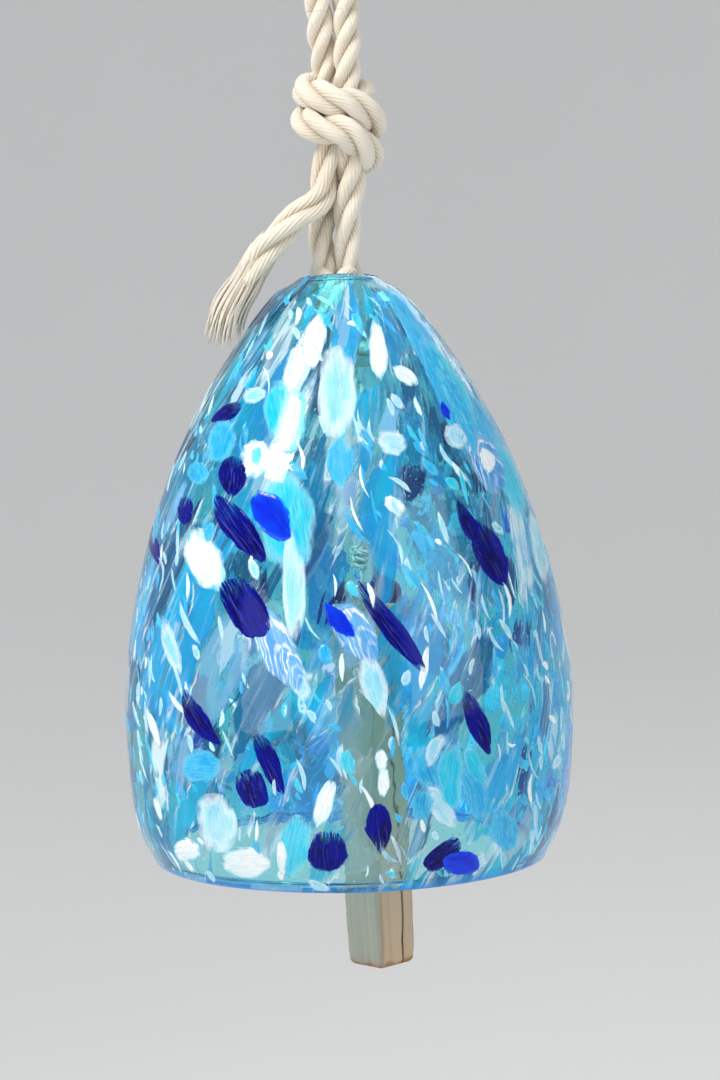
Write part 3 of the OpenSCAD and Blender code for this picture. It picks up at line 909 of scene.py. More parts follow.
@dataclass(frozen=True)
class Fringe:
    """The loose yarns at the end of the rope's tail."""

    yarns: int = 130
    start: float = 0.58
    points: int = 14
    sides: int = 5
    fine_share: float = 0.45
    fine_radius: float = 0.00013
    thick_radius: float = 0.00036
    uneven: tuple[float, float] = (-0.0035, 0.0022)
    wave: float = 0.00045
    droop: float = 0.0042
    lean: Point = (-0.2, -0.8, -1.0)

    def parts(self, route: Route, radius: float) -> MeshParts:
        """All the yarns.

        Args:
            route: the tail's middle line.
            radius: the rope's radius.

        Returns:
            The yarns, put together.
        """
        chance = np.random.default_rng(61)
        parts = MeshParts()
        for _ in range(self.yarns):
            self.add_yarn(parts, route, radius, chance)
        return parts

    def add_yarn(self, parts: MeshParts, route: Route, radius: float, chance: Draws) -> None:
        """Adds one yarn, which leaves the tail's end and comes loose from the others.

        Args:
            parts: where the yarn goes.
            route: the tail's middle line.
            radius: the rope's radius.
            chance: the random draws to use.
        """
        last = len(route.points) - 1
        fine = chance.uniform() < self.fine_share
        spread = math.sqrt(chance.uniform(0.0, 1.0))
        angle = chance.uniform(0, TURN)
        extra = chance.uniform(*self.uneven)
        first = int(len(route.points) * self.start) + chance.integers(0, 14)
        spots = np.linspace(first, last, self.points).astype(int)
        go = np.linspace(0, 1, self.points)
        twist = angle + 0.9 * go * (1 - go)
        width = radius * (0.86 + 0.34 * go ** 1.5) * spread
        line = (route.points[spots]
                + (width * np.cos(twist))[:, None] * route.side[spots] * 0.85
                + (width * np.sin(twist))[:, None] * route.back[spots] * 1.25)
        line += np.outer(go ** 2 * extra, route.along[-1])
        droop = np.clip(np.cos(angle), -0.2, 1) * spread * self.droop
        line += np.outer(go ** 2 * droop, self.lean)
        wave = chance.uniform(-1, 1, 3) * self.wave
        line += np.outer(np.sin(go * chance.uniform(3, 8)), wave)
        thick = (self.fine_radius if fine else self.thick_radius) * chance.uniform(0.75, 1.15)
        yarn = Route.framed(line, go * 0.02, (0, -1, 0.2))
        rings = yarn.tube(thick * np.sqrt(np.clip(1.05 - go ** 6, 0.05, 1)), self.sides)
        turn = TURN * np.arange(self.sides) / self.sides
        lay = np.stack(np.broadcast_arrays(yarn.length[:, None] + angle, turn[None, :],
                                           np.zeros(rings.shape[:2])), axis=-1)
        # Painted shade: yarns near the middle of the fringe are darker, as shaded by the yarns round
        # them.
        painted_shade = float(np.clip(1.0 - spread * 1.1, 0.05, 0.8))
        parts.add_tube(rings, lay, np.full(rings.shape[:2], painted_shade))


@dataclass
class Rope:
    """The cotton rope: its hanging loop, the knot above the bell, its tail and the stopper."""

    diameter: float = 0.0066
    step: float = 0.00045
    loop_split: float = -0.028
    leg_split: float = -0.052
    fuzz_per_metre: float = 2900.0
    fuzz_length: float = 0.0026
    knot_swell: float = 1.19
    neck_swell: float = 1.14
    neck_squeeze: float = 0.17
    squeeze_z: float = -0.112
    squeeze_run: float = 0.02
    tail_swell: tuple[tuple[float, float], ...] = (
        (0, 0.94), (0.3, 1.04), (0.62, 1.14), (0.76, 1.0), (0.84, 0.62))
    stopper_radius: float = 0.0088
    stopper_rise: float = 0.0038
    stopper_middle: Point = (-2.0, 0.0, -122.86)
    material: bpy.types.Material | None = None

    def build(self) -> list[Piece]:
        """Returns:
            The rope's pieces.
        """
        self.material = CottonFinish("cotton_rope").material()
        loop = self.hanging_loop()
        knot = self.outer_knot()
        necks = [self.neck("left", NECK_LEFT, 0.4), self.neck("right", NECK_RIGHT, 1.7)]
        tail = self.tail()
        stopper = self.stopper()
        return [*loop, knot, *necks, *tail, stopper]

    def stretch(self, name: str, route: Route, laid: Laid, swell: Array | None = None,
                seed: int = 1) -> Piece:
        """Makes one stretch of rope with its loose fibres."""
        parts = MeshParts()
        laid.lay_up(parts, route, swell)
        laid.fuzz(parts, route, self.fuzz_per_metre, self.fuzz_length, seed)
        piece = parts.piece(name, self.material)
        return piece

    def hanging_loop(self) -> list[Piece]:
        """The loop from one leg over the hook to the other, in five stretches.

        Returns:
            The loop's top, its two sides and its two legs.
        """
        mirrored = [(-x, y, z) for x, y, z in HOOK_HALF[:0:-1]]
        side_up = [(-x, y, z) for x, y, z in SIDE[::-1]]
        places = [*LEG_LEFT[::-1], *side_up, *mirrored, *HOOK_HALF, *SIDE, *LEG_RIGHT]
        route = Route.through(places, self.step)
        laid = Laid(self.diameter / 2)
        cuts = [0, route.nearest(self.leg_split), route.nearest(self.loop_split),
                route.nearest(self.loop_split, False), route.nearest(self.leg_split, False),
                len(route.points) - 1]
        names = [("rope_leg_left", "loop_leg_left"), ("rope_side_left", "loop_side_left"),
                 ("rope_loop", "hanging_loop"), ("rope_side_right", "loop_side_right"),
                 ("rope_leg_right", "loop_leg_right")]
        made = []
        for number, (name, node) in enumerate(names):
            part = route.part(cuts[number], cuts[number + 1])
            piece = self.stretch(name, part, laid, seed=number + 11)
            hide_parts(node)
            made.append(piece)
        leg_left, side_left, top, side_right, leg_right = made
        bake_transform(top)
        for piece in (side_left, side_right):
            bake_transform(piece)
        for piece in (leg_left, leg_right):
            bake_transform(piece)
        path = route.part(cuts[2], cuts[3])
        round(path.span(), 4)
        return made

    def knotted(self, name: str, node: str, route: Route, laid: Laid, seed: int,
                swell: Array | None = None) -> Piece:
        """Args:
            name: the piece's name.
            node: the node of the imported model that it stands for.
            route: its middle line.
            laid: how it is laid up.
            seed: the start of its fibres' random draws.
            swell: a factor on the rope's radius at each point of the route.

        Returns:
            The piece.
        """
        piece = self.stretch(name, route, laid, swell, seed)
        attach(piece, "knotted_rope")
        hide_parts(node)
        return piece

    def outer_knot(self) -> Piece:
        """The knot above the bell: the rope's two turns round its own legs."""
        route = Route.through(KNOT, self.step)
        laid = Laid(self.diameter / 2 * self.knot_swell, pitch=0.030, yarn_turn=-0.9, start=0.6,
                    yarns=15)
        return self.knotted("rope_knot", "outer_knot", route, laid, 31)

    def neck(self, name: str, places: list[Point], start: float) -> Piece:
        """One of the two strands of rope, which is squeezed where it passes through the crown."""
        route = Route.through(places, self.step)
        share = np.clip((self.squeeze_z - route.points[:, 2]) / self.squeeze_run + 1, 0, 1)
        swell = self.neck_swell - self.neck_squeeze * share * share * (3 - 2 * share)
        laid = Laid(self.diameter / 2, pitch=0.034, start=start)
        return self.knotted("rope_neck_" + name, "neck_leg_" + name, route, laid, 41 + len(name),
                            swell)

    def tail(self) -> list[Piece]:
        """The rope's end, which leaves the knot to the left and frays.

        Returns:
            The laid part and the fringe.
        """
        route = Route.through(TAIL, self.step)
        share = route.length / route.length[-1]
        spots, swells = zip(*self.tail_swell)
        laid_part = route.part(0, int(len(share) * spots[-1]))
        swell = np.interp(share[:len(laid_part.points)], spots, swells)
        laid = Laid(self.diameter / 2, pitch=0.052, start=2.2, groove=0.12)
        piece = self.stretch("rope_tail_strands", laid_part, laid, swell, seed=51)
        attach(piece, "knotted_rope")
        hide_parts("rope_tail")
        fringe = Fringe().parts(route, self.diameter / 2).piece("rope_fringe", self.material)
        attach(fringe, "knotted_rope")
        round(laid_part.span(), 4)
        return [piece, fringe]

    def stopper(self) -> Piece:
        """The knot inside the crown that the glass rests on, and the bight of rope below it."""
        reach = (self.stopper_radius - self.diameter / 2) / MM
        turn = np.linspace(0, TURN, 40)
        overhand = np.stack([(np.sin(turn) + 2 * np.sin(2 * turn)) / 3 * reach,
                             (np.cos(turn) - 2 * np.cos(2 * turn)) / 3 * reach,
                             -np.sin(3 * turn) * self.stopper_rise / MM], axis=-1)
        wound = [tuple(place) for place in overhand + np.array(self.stopper_middle)]
        parts = MeshParts()
        laid = Laid(self.diameter / 2, pitch=0.028, yarn_turn=-1.0)
        laid.lay_up(parts, Route.through(wound, self.step, UP))
        laid.lay_up(parts, Route.through(STOPPER_CORE, self.step))
        bight = Route.through(BIGHT, self.step)
        laid.lay_up(parts, bight)
        laid.fuzz(parts, bight, self.fuzz_per_metre / 3, 0.002, 71)
        piece = parts.piece("rope_stopper", self.material)
        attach(piece, "knotted_rope")
        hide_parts("stopper_knot")
        return piece


@dataclass
class Twine:
    """The clapper's twine: its hitch on the rope, its run, the wrapped knot and the loop."""

    diameter: float = 0.0015
    gap: float = 0.00045
    hitch_turns: int = 2
    hitch_z: float = -0.1395
    hitch_radius: float = 0.00445
    wrap_top: float = -0.1866
    wrap_turns: float = 3.25
    wrap_radius: float = 0.001725
    wrap_squeeze: float = 0.92
    loop_top: float = -0.1944375
    eye_top: float = -0.1969375
    loop_spread: float = 0.0016
    material: bpy.types.Material | None = None

    def build(self) -> list[Piece]:
        """Makes the twine's pieces.

        Returns:
            The hitch, the run, the wrapped knot and the loop.
        """
        # The twine's cotton, with its own darker colour for the painted shade in its grooves.
        self.material = CottonFinish("cotton_twine", ridge=(0.92, 0.87, 0.77, 1),
                                     groove_shade=(0.42, 0.33, 0.22, 1), stain=(0.76, 0.68, 0.55, 1),
                                     fibre_scale=3.0).material()
        return [self.hitch(), self.run(), self.wraps(), self.loop()]

    def laid(self) -> Laid:
        """The twine's two plies."""
        return Laid(self.diameter / 2, strands=2, pitch=0.0042, yarns=6, points_per_yarn=3,
                    groove=0.10, offset_share=0.42, strand_share=0.60)

    def tied(self, name: str, node: str, body: str, routes: list[Route]) -> Piece:
        """Lays twine along the routes and rides it on a body."""
        parts = MeshParts()
        for route in routes:
            self.laid().lay_up(parts, route)
        piece = parts.piece(name, self.material)
        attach(piece, body)
        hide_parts(node)
        return piece

    def hitch(self) -> Piece:
        """Two turns round the rope's bight and the small knot under them."""
        pitch = (self.diameter + self.gap) / MM
        radius = self.hitch_radius / MM
        places = []
        for share in np.linspace(0, 1, 40):
            angle = self.hitch_turns * TURN * share
            places.append((pitch * self.hitch_turns * (share - 0.5), radius * math.sin(angle),
                           self.hitch_z / MM - radius * math.cos(angle)))
        low = (self.hitch_z - self.hitch_radius) / MM
        knot = [(-1.2, 0.6, low + 0.3), (-0.9, -1.1, low - 0.1), (0.9, -1.1, low - 0.9),
                (1.1, 0.9, low - 1.3), (-0.6, 1.2, low - 1.7), (-1.2, -0.3, low - 2.0),
                (0.2, -1.0, low - 2.3), (0.7, 0.3, low - 2.5)]
        tail = [(0.6, -0.8, low - 1.0), (1.6, -1.6, low - 1.8), (2.3, -1.8, low - 3.4),
                (2.7, -1.7, low - 5.2)]
        routes = [Route.through(places, 0.0004), Route.through(knot, 0.0003),
                  Route.through(tail, 0.0004)]
        return self.tied("twine_hitch_turns", "twine_hitch", "hitch", routes)

    def run(self) -> Piece:
        """The straight twine between the hitch and the wrapped knot."""
        route = Route.through(TWINE, 0.0005)
        parts = MeshParts()
        self.laid().lay_up(parts, route)
        self.laid().fuzz(parts, route, 1200, 0.0014, 81)
        piece = parts.piece("twine_run", self.material)
        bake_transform(piece)
        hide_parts("twine")
        round(route.span(), 4)
        return piece

    def wraps(self) -> Piece:
        """The knot above the clapper, wrapped round the twine."""
        top = self.wrap_top / MM
        pitch = (self.diameter + self.gap) / MM * self.wrap_squeeze
        radius = self.wrap_radius / MM
        places = []
        for share in np.linspace(0, 1, 48):
            angle = TURN * self.wrap_turns * share
            size = radius * (1.0 + 0.10 * math.sin(5.1 * share + 0.6))
            places.append((size * math.cos(angle), size * math.sin(angle),
                           top - 0.75 - pitch * self.wrap_turns * share))
        core = [(0.1, 0, top + 0.4), (-0.3, 0.2, top - 2.5), (0.3, -0.2, top - 5.5),
                (0, 0, top - 8.4)]
        end = [(*places[0][:2], top - 0.6), (2.2, 0.9, top + 0.6), (1.7, 1.6, top + 2.2)]
        routes = [Route.through(places, 0.0003), Route.through(core, 0.0004),
                  Route.through(end, 0.0003)]
        return self.tied("twine_wraps", "twine_knot", "string_end", routes)

    def loop(self) -> Piece:
        """The small loop that passes through the screw eye."""
        spread = self.loop_spread / MM
        eye = self.eye_top / MM
        half = [(0, -0.9, self.loop_top / MM + 1.2), (0, -0.95, self.loop_top / MM),
                (0, -spread * 0.95, eye + 1.25), (0, -spread, eye), (0, -spread * 0.7, eye - 1.12)]
        places = [*half, (0, 0, eye - spread), *[(x, -y, z) for x, y, z in half[::-1]]]
        return self.tied("twine_eye_loop", "twine_loop", "string_end",
                         [Route.through(places, 0.0003)])


@dataclass
class Clapper:
    """The square stick of weathered wood and its screw eye."""

    side: float = 0.0127
    length: float = 0.093
    turn_deg: float = 42.6
    top: float = -0.2019875
    wear: float = 0.0012
    crack_place: float = 0.0021
    crack_width: float = 0.00038
    crack_depth: float = 0.0016
    long_cuts: tuple[float, ...] = (-0.3, -0.1, 0.12, 0.33)
    level_cuts: int = 32
    end_wear: float = 0.003
    end_taper: float = 0.13

    def build(self) -> list[Piece]:
        """Makes the stick and dresses the screw eye.

        Returns:
            The stick.
        """
        steel = PlatedSteelFinish().material()
        eye = bpy.data.objects["screw_eye"]
        eye.data.materials.clear()
        eye.data.materials.append(steel)
        stick = self.stick()
        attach(stick, "striker")
        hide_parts("clapper")
        return [stick]

    def stick(self) -> Piece:
        """A worn square stick with a long crack down one face.

        Returns:
            The stick, in its place.
        """
        forget_selection()
        bpy.ops.mesh.primitive_cube_add(size=1)
        stick = bpy.context.object
        stick.name = stick.data.name = "clapper_stick"
        stick.scale = (self.side, self.side, self.length)
        bpy.ops.object.transform_apply(location=True, rotation=True, scale=True)
        edit(stick)
        bpy.ops.mesh.bevel(offset=self.wear, segments=6, affect="EDGES")
        for place in (-self.crack_width, 0.0, self.crack_width):
            cut((self.crack_place + place, 0, 0), (1, 0, 0))
        for level in np.linspace(-0.46, 0.46, self.level_cuts):
            cut((0, 0, level * self.length), UP)
        for level in self.long_cuts:
            cut((0, level * self.side, 0), (0, 1, 0))
        bpy.ops.object.mode_set(mode="OBJECT")
        self.weather(stick)
        stick.data.materials.append(WeatheredWoodFinish().material())
        pick(stick)
        bpy.ops.object.shade_smooth_by_angle(angle=math.radians(35))
        return stick

    def weather(self, stick: Piece) -> None:
        """Opens the crack, wears the faces and the lower end, and puts the stick in its place."""
        places = corners(stick)
        front = np.clip((-places[:, 1] / self.side - 0.36) / 0.12, 0, 1)
        wander = 0.00028 * np.sin(places[:, 2] * 190) + 0.0002 * np.sin(places[:, 2] * 530 + 1)
        close = np.abs(places[:, 0] - self.crack_place) < self.crack_width * 1.5
        middle = np.abs(places[:, 0] - self.crack_place) < self.crack_width * 0.5
        places[:, 0] += np.where(close, wander * front, 0)
        places[:, 1] += np.where(middle, self.crack_depth * front, 0)
        # The crack's bottom is stored for the painted shade that the wood puts there.
        write_attribute(stick, "crack", np.where(middle, front, 0.0))
        uneven = (0.00009 * np.sin(places[:, 2] * 260 + 3 * np.sign(places[:, 0]))
                  + 0.00006 * np.sin(places[:, 2] * 710 + places[:, 1] * 400))
        outward = places[:, :2] / np.maximum(np.linalg.norm(places[:, :2], axis=1), 1e-6)[:, None]
        places[:, :2] += outward * uneven[:, None]
        low = np.clip((self.end_wear - self.length / 2 - places[:, 2]) / self.end_wear, 0, 1)
        places[:, :2] *= 1 - self.end_taper * low[:, None] ** 2
        turn = math.radians(self.turn_deg)
        x, y = places[:, 0].copy(), places[:, 1].copy()
        places[:, 0] = x * math.cos(turn) - y * math.sin(turn)
        places[:, 1] = x * math.sin(turn) + y * math.cos(turn)
        places[:, 2] += self.top - self.length / 2
        move_corners(stick, places)


class ChipShape(Enum):
    """Outlines of melted chips."""

    ROUND = "round"
    LEAF = "leaf"
    DROP = "drop"
    BLOCK = "block"
    SLIVER = "sliver"


@dataclass(frozen=True)
class Chip:
    """One listed chip: its place seen from the front, its size and its lean, in mm and degrees."""

    colour: ChipColour
    shape: ChipShape
    x: float
    z: float
    long: float
    wide: float
    lean: float
    bend: float = 0.0


NAVY, COBALT, MILK, ICE, SKY, AQUA, AGATE = ChipColour
ROUND, LEAF, DROP, BLOCK, SLIVER = ChipShape
LARGE_CHIPS = tuple(Chip(*row) for row in (
    (AQUA, ROUND, -18.4, -179.5, 25, 14, 92), (AQUA, BLOCK, -17, -152.5, 18, 11, 95),
    (ICE, BLOCK, -3.7, -147, 23, 10, 88), (SKY, SLIVER, 21.7, -147.5, 31, 6, 110, -1.5),
    (SKY, BLOCK, 14.5, -244.5, 13, 9, 100), (ICE, LEAF, -18, -197.5, 26, 6.3, 88),
    (SKY, ROUND, -43.9, -241.6, 10, 8, 0), (SKY, BLOCK, 33, -263, 11, 7.6, 103),
    (NAVY, LEAF, -32.3, -151.3, 8, 3.4, 30), (NAVY, LEAF, -30.9, -166.5, 10.5, 6.2, 80),
    (NAVY, LEAF, -29.8, -180.9, 19, 6.8, 121), (COBALT, LEAF, -21.7, -178, 14, 7.8, 122),
    (NAVY, ROUND, -44, -175.7, 6.8, 3.7, 85), (NAVY, SLIVER, -52.2, -184.3, 9.5, 2.4, 101),
    (NAVY, BLOCK, -29.8, -201.4, 17, 9.3, 112), (COBALT, DROP, -6.4, -205.7, 10.5, 4.6, 126),
    (NAVY, SLIVER, -42.8, -228.3, 15.5, 5, 118, 1.2), (NAVY, LEAF, -26.4, -240, 16.5, 4.6, 112),
    (NAVY, BLOCK, -31, -247.9, 10.8, 7, 106), (NAVY, ROUND, -12, -264.9, 9.8, 9.5, 88),
    (NAVY, DROP, 1, -259.9, 11, 7, 270), (NAVY, LEAF, 6.6, -208.1, 25, 5.4, 123),
    (NAVY, LEAF, 32.5, -191.5, 17, 6.8, 112), (NAVY, SLIVER, 27.6, -182.8, 13, 3.4, 113),
    (NAVY, LEAF, 27.4, -233.3, 15.6, 5, 109), (NAVY, BLOCK, 17.2, -267.1, 12, 4.8, 37),
    (COBALT, BLOCK, 21.3, -270.4, 9.4, 6, 4), (COBALT, SLIVER, 23.3, -153.8, 5, 1.8, 111),
    (MILK, ROUND, -39.8, -189.3, 15, 9.2, 107), (MILK, ROUND, -25.1, -162.8, 10, 7, 88),
    (AQUA, ROUND, -25.2, -162.6, 4.6, 2.8, 88), (MILK, LEAF, 7.2, -137.4, 15, 4.4, 93),
    (MILK, LEAF, -12.9, -253.6, 13.3, 4.3, 70), (MILK, ROUND, 2.6, -242, 5.7, 3, 97),
    (MILK, ROUND, 2.9, -248.5, 7, 3, 89), (ICE, BLOCK, -40.1, -256, 16, 10, 93),
    (MILK, BLOCK, -48.3, -263, 6.8, 6, 178), (MILK, BLOCK, -33.9, -266.8, 12.5, 8, 176),
    (AQUA, BLOCK, -21.1, -263, 16.5, 8, 74), (MILK, SLIVER, -24.5, -266, 9, 2.6, 88),
    (MILK, LEAF, 13.3, -143.9, 7.4, 3.5, 139), (ICE, ROUND, 9.8, -161.5, 7, 6.5, 176),
    (AGATE, ROUND, 33, -167, 17, 7, 113), (MILK, ROUND, 33, -166.6, 6.5, 3.6, 108),
    (ICE, LEAF, 45.3, -190, 19.5, 4.6, 98), (ICE, LEAF, -49.3, -211, 15, 3.8, 103),
    (MILK, SLIVER, -55.1, -231.5, 10, 1.8, 105), (ICE, SLIVER, -43.9, -204.6, 11.5, 1.6, 112, 1),
    (MILK, SLIVER, 14.7, -219.5, 10.3, 2.3, 78), (MILK, ROUND, -20, -161.7, 4.6, 3, 90),
    (ICE, BLOCK, -24.9, -147.2, 5.6, 4.3, 2), (SKY, DROP, -4.1, -165, 13.2, 7, 270),
    (SKY, ROUND, -33.5, -158.3, 11.3, 6.6, 73), (AGATE, LEAF, -22.5, -213, 20, 9.5, 108),
    (ICE, LEAF, -17.5, -221, 13, 5, 110), (AGATE, ROUND, -18.6, -217.5, 11, 5.4, 105),
    (AGATE, LEAF, -1.5, -209.5, 17, 9, 120), (ICE, DROP, 1.6, -223, 17, 6.5, 285),
    (SKY, ROUND, -40.3, -165.7, 5.6, 5, 90), (ICE, ROUND, 25.5, -160.2, 7, 5, 118),
    (MILK, LEAF, -8.5, -135, 13, 5.5, 80), (ICE, LEAF, -14.5, -141, 12, 5, 75),
    (SKY, SLIVER, 17.5, -139, 24, 3.6, 114, -1), (SKY, SLIVER, 26, -153, 22, 4.4, 111, -1),
    (SKY, SLIVER, 30.5, -160, 20, 3.4, 109, -1), (ICE, SLIVER, 22, -141, 26, 2.4, 115, -1),
    (SKY, LEAF, 16, -131, 22, 6, 118, -1), (AQUA, LEAF, 24.5, -147, 26, 6, 113, -1),
    (SKY, LEAF, 31, -158, 24, 6, 111, -1), (AQUA, LEAF, 38, -171, 22, 5, 107, -1),
    (AQUA, LEAF, 20.5, -247.5, 17, 7, 84, 1), (SKY, LEAF, 25, -252.5, 15, 6, 104, -1),
    (ICE, LEAF, 17.5, -254.5, 13, 5.5, 122, 1), (SKY, ROUND, 12.2, -254.5, 9, 5.5, 78),
    (ICE, LEAF, 16.5, -241, 10, 3.4, 60, 1), (AQUA, LEAF, 27.5, -245, 12, 4, 112, 1),
))


@dataclass
class GlassBell:
    """The blown bell and the chips of colour melted into its outer skin."""

    height: float = 0.152
    radius: float = 0.057
    rim_radius: float = 0.05025
    wall: float = 0.0042
    crown_lip: float = 0.003
    crown_hole: float = 0.0152
    lean_deg: float = 1.7
    crown: Point = (-0.0018, 0.0, -0.116)
    thickening: float = 0.195
    shoulder_radius: float = 0.0115
    shoulder_spread: float = 0.0030
    shoulder_drop: float = 0.0012
    dip_radius: float = 0.0095
    dip_spread: float = 0.0030
    dip: float = 0.0014
    waves: tuple[tuple[float, float, float, float], ...] = (
        (0.00013, 3, 40, 0.7), (0.00009, 7, -90, 0), (0.00005, 2, 190, 0))
    swirl: float = 7.0
    lip_height: float = 0.0042
    lip_blur: float = 0.0022
    twine_window: tuple[float, float, float, float] = (-0.138, 0.008, -0.192, 0.006)
    stick_window: tuple[float, float, float, float] = (-0.220, 0.010, -0.268, 0.006)
    window_half: float = 0.0052
    knot_window_z: float = -0.1862
    knot_window_half: float = 0.0085
    stick_window_half: float = 0.0090
    pale_top: float = -0.138
    pale_blur: float = 0.02
    pale_half: float = 0.0115
    around: int = 224
    chip_depth: float = 0.0011
    chip_proud: float = 0.00007
    shares: tuple[tuple[float, float], ...] = (
        (0.333, 0.0631), (0.475, 0.132), (0.618, 0.218), (0.788, 0.352), (0.925, 0.52),
        (0.988, 0.655), (1.0, 0.756), (0.985, 0.856), (0.955, 0.923))

    def build(self, eye: Vector) -> list[Piece]:
        """Makes the bell and its chips.

        Args:
            eye: the camera's place, which the large chips were placed from.

        Returns:
            The bell and one piece for each colour of chip.
        """
        self.shape()
        shell = self.shell()
        chips = ChipLayer(self, eye).build()
        return [shell, *chips]

    def shape(self) -> None:
        """Works out the wall's outline, as the part's source does."""
        lip = self.crown_lip / 2
        slope = math.sqrt(0.5)
        start = (self.crown_hole / 2 + lip + lip * slope, -lip + lip * slope)
        knots = [start, *[(share * self.radius, -depth * self.height)
                          for share, depth in self.shares],
                 (self.rim_radius, self.wall / 2 - self.height)]
        self.outer = spline(np.array([knots[0], *knots, knots[-1]]), 12)
        along = np.gradient(self.outer, axis=0)
        along /= np.linalg.norm(along, axis=1)[:, None]
        self.normals = np.column_stack([-along[:, 1], along[:, 0]])
        thick = self.crown_lip + (self.wall - self.crown_lip) * np.minimum(
            1, -self.outer[:, 1] / (self.height * self.thickening))
        self.inner = self.outer - self.normals * thick[:, None]
        self.run = distances(self.outer)

    def lip_arc(self, start: Array, end: Array) -> Array:
        """Points of the half circle that closes the wall from start to end."""
        share = np.linspace(0, math.pi, 13)[1:-1, None]
        half = (start - end) / 2
        square = np.array([-half[1], half[0]])
        return (start + end) / 2 + half * np.cos(share) + square * np.sin(share)

    def placed(self, local: Array) -> Array:
        """Places in the bell's own frame, brought to the object's frame."""
        lean = math.radians(self.lean_deg)
        x, y, z = local[..., 0], local[..., 1], local[..., 2]
        return np.stack([x * math.cos(lean) + z * math.sin(lean) + self.crown[0],
                         y + self.crown[1],
                         z * math.cos(lean) - x * math.sin(lean) + self.crown[2]], axis=-1)

    def local(self, places: Array) -> Array:
        """Places in the object's frame, brought to the bell's own."""
        lean = math.radians(self.lean_deg)
        x, y, z = (places[..., i] - self.crown[i] for i in range(3))
        return np.stack([x * math.cos(lean) - z * math.sin(lean), y,
                         z * math.cos(lean) + x * math.sin(lean)], axis=-1)

    def blown(self, angle: Array, z: Array) -> Array:
        """How far the blown wall strays outwards from its true outline, in metres."""
        return sum(size * np.sin(turns * angle + rise * z + start)
                   for size, turns, rise, start in self.waves)

    def sunk(self, angle: Array, radius: Array) -> Array:
        """How far the crown's shoulder, and its lip at the two sides, lie below the outline."""
        shoulder = np.exp(-((radius - self.shoulder_radius) / self.shoulder_spread) ** 2)
        lip = np.exp(-((radius - self.dip_radius) / self.dip_spread) ** 2)
        return self.shoulder_drop * shoulder + self.dip * np.sin(angle) ** 2 * lip

    def radius_at(self, z: Array) -> Array:
        """The outer radius at heights in the bell's own frame."""
        return np.interp(-z, -self.outer[:, 1], self.outer[:, 0])

    def radius_down(self, run: Array | float) -> Array | float:
        """The outer radius at distances down the outline from the crown."""
        return np.interp(run, self.run, self.outer[:, 0])

    def on_wall(self, angle: Array, run: Array, lift: Array) -> Array:
        """Points on the outer skin, in the object's frame.

        Args:
            angle: turn about the axis in radians, zero at the front, growing to the right.
            run: distance down the outline from the crown.
            lift: height above the skin.

        Returns:
            The points, one row each.
        """
        radius = self.radius_down(run)
        z = np.interp(run, self.run, self.outer[:, 1])
        out = np.interp(run, self.run, self.normals[:, 0])
        up = np.interp(run, self.run, self.normals[:, 1])
        size = radius + out * lift + self.blown(angle, z)
        z = z + up * lift - self.sunk(angle, radius)
        return self.placed(np.stack([size * np.sin(angle), -size * np.cos(angle), z], axis=-1))

    def seen_at(self, x: Array, z: Array, eye: Vector) -> tuple[Array, Array]:
        """Where the wall is seen at a place on the plumb line's plane.

        Args:
            x: places to the right, in metres.
            z: heights, in metres.
            eye: the place to look from.

        Returns:
            The angle about the axis and the distance down the outline.
        """
        target = self.local(np.stack([x, np.zeros_like(x), z], axis=-1))
        start = self.local(np.array(eye, float)[None, :])
        near, far = np.full(x.shape, 0.85), np.full(x.shape, 0.995)
        for _ in range(26):
            middle = (near + far) / 2
            spot = start + (target - start) * middle[:, None]
            outside = np.hypot(spot[:, 0], spot[:, 1]) > self.radius_at(spot[:, 2])
            near, far = np.where(outside, middle, near), np.where(outside, far, middle)
        spot = start + (target - start) * far[:, None]
        angle = np.arctan2(spot[:, 0], -spot[:, 1])
        return angle, np.interp(-spot[:, 2], -self.outer[:, 1], self.run)

    def window(self, places: Array) -> Array:
        """How free of flakes the front wall is where the twine and the stick show through it."""
        x, z = places[:, 0], places[:, 2]
        twine = between(z, *self.twine_window)
        knot = np.exp(-((z - self.knot_window_z) / self.knot_window_half) ** 2)
        thin = np.exp(-(x / self.window_half) ** 2) * np.maximum(twine * 0.55, knot * 0.9)
        broad = np.exp(-(x / self.stick_window_half) ** 4) * between(z, *self.stick_window) * 0.65
        return np.maximum(thin, broad) * (places[:, 1] < 0)

    def pale(self, places: Array) -> Array:
        """How colourless the front wall is, in a broad band over the twine and the stick."""
        band = np.exp(-(places[:, 0] / self.pale_half) ** 4)
        depth = np.clip((self.pale_top - places[:, 2]) / self.pale_blur, 0, 1)
        return band * depth * (places[:, 1] < 0)

    def shell(self) -> Piece:
        """The bell's wall, spun from its outline, with the flow of the melt stored on it.

        Returns:
            The bell.
        """
        outline = np.vstack([self.outer, self.lip_arc(self.outer[-1], self.inner[-1]),
                             self.inner[::-1], self.lip_arc(self.inner[0], self.outer[0])])
        shell = turned_piece("bell_glass", outline, self.around, closed=True)
        places = corners(shell)
        angle = np.arctan2(places[:, 0], -places[:, 1])
        size = np.hypot(places[:, 0], places[:, 1])
        run = np.interp(-places[:, 2], -self.outer[:, 1], self.run)
        outside = np.clip((size - self.radius_at(places[:, 2])) / (self.wall * 0.3) + 1, 0, 1)
        blown = self.blown(angle, places[:, 2])
        places[:, 0] += np.sin(angle) * blown
        places[:, 1] -= np.cos(angle) * blown
        depth = -places[:, 2]
        turned = angle + self.swirl * run
        flow = np.column_stack([0.05 * np.sin(turned), 0.05 * np.cos(turned), run])
        places[:, 2] -= self.sunk(angle, size)
        places = self.placed(places)
        move_corners(shell, places)
        write_attribute(shell, "flow", flow)
        write_attribute(shell, "outer", outside)
        write_attribute(shell, "window", self.window(places))
        write_attribute(shell, "pale", self.pale(places))
        write_attribute(shell, "lip", np.clip((depth - self.height + self.lip_height)
                                              / self.lip_blur, 0, 1))
        smooth_faces(shell)
        shell.data.materials.append(BlownGlassFinish().material())
        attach(shell, "bell")
        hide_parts("glass_bell")
        return shell


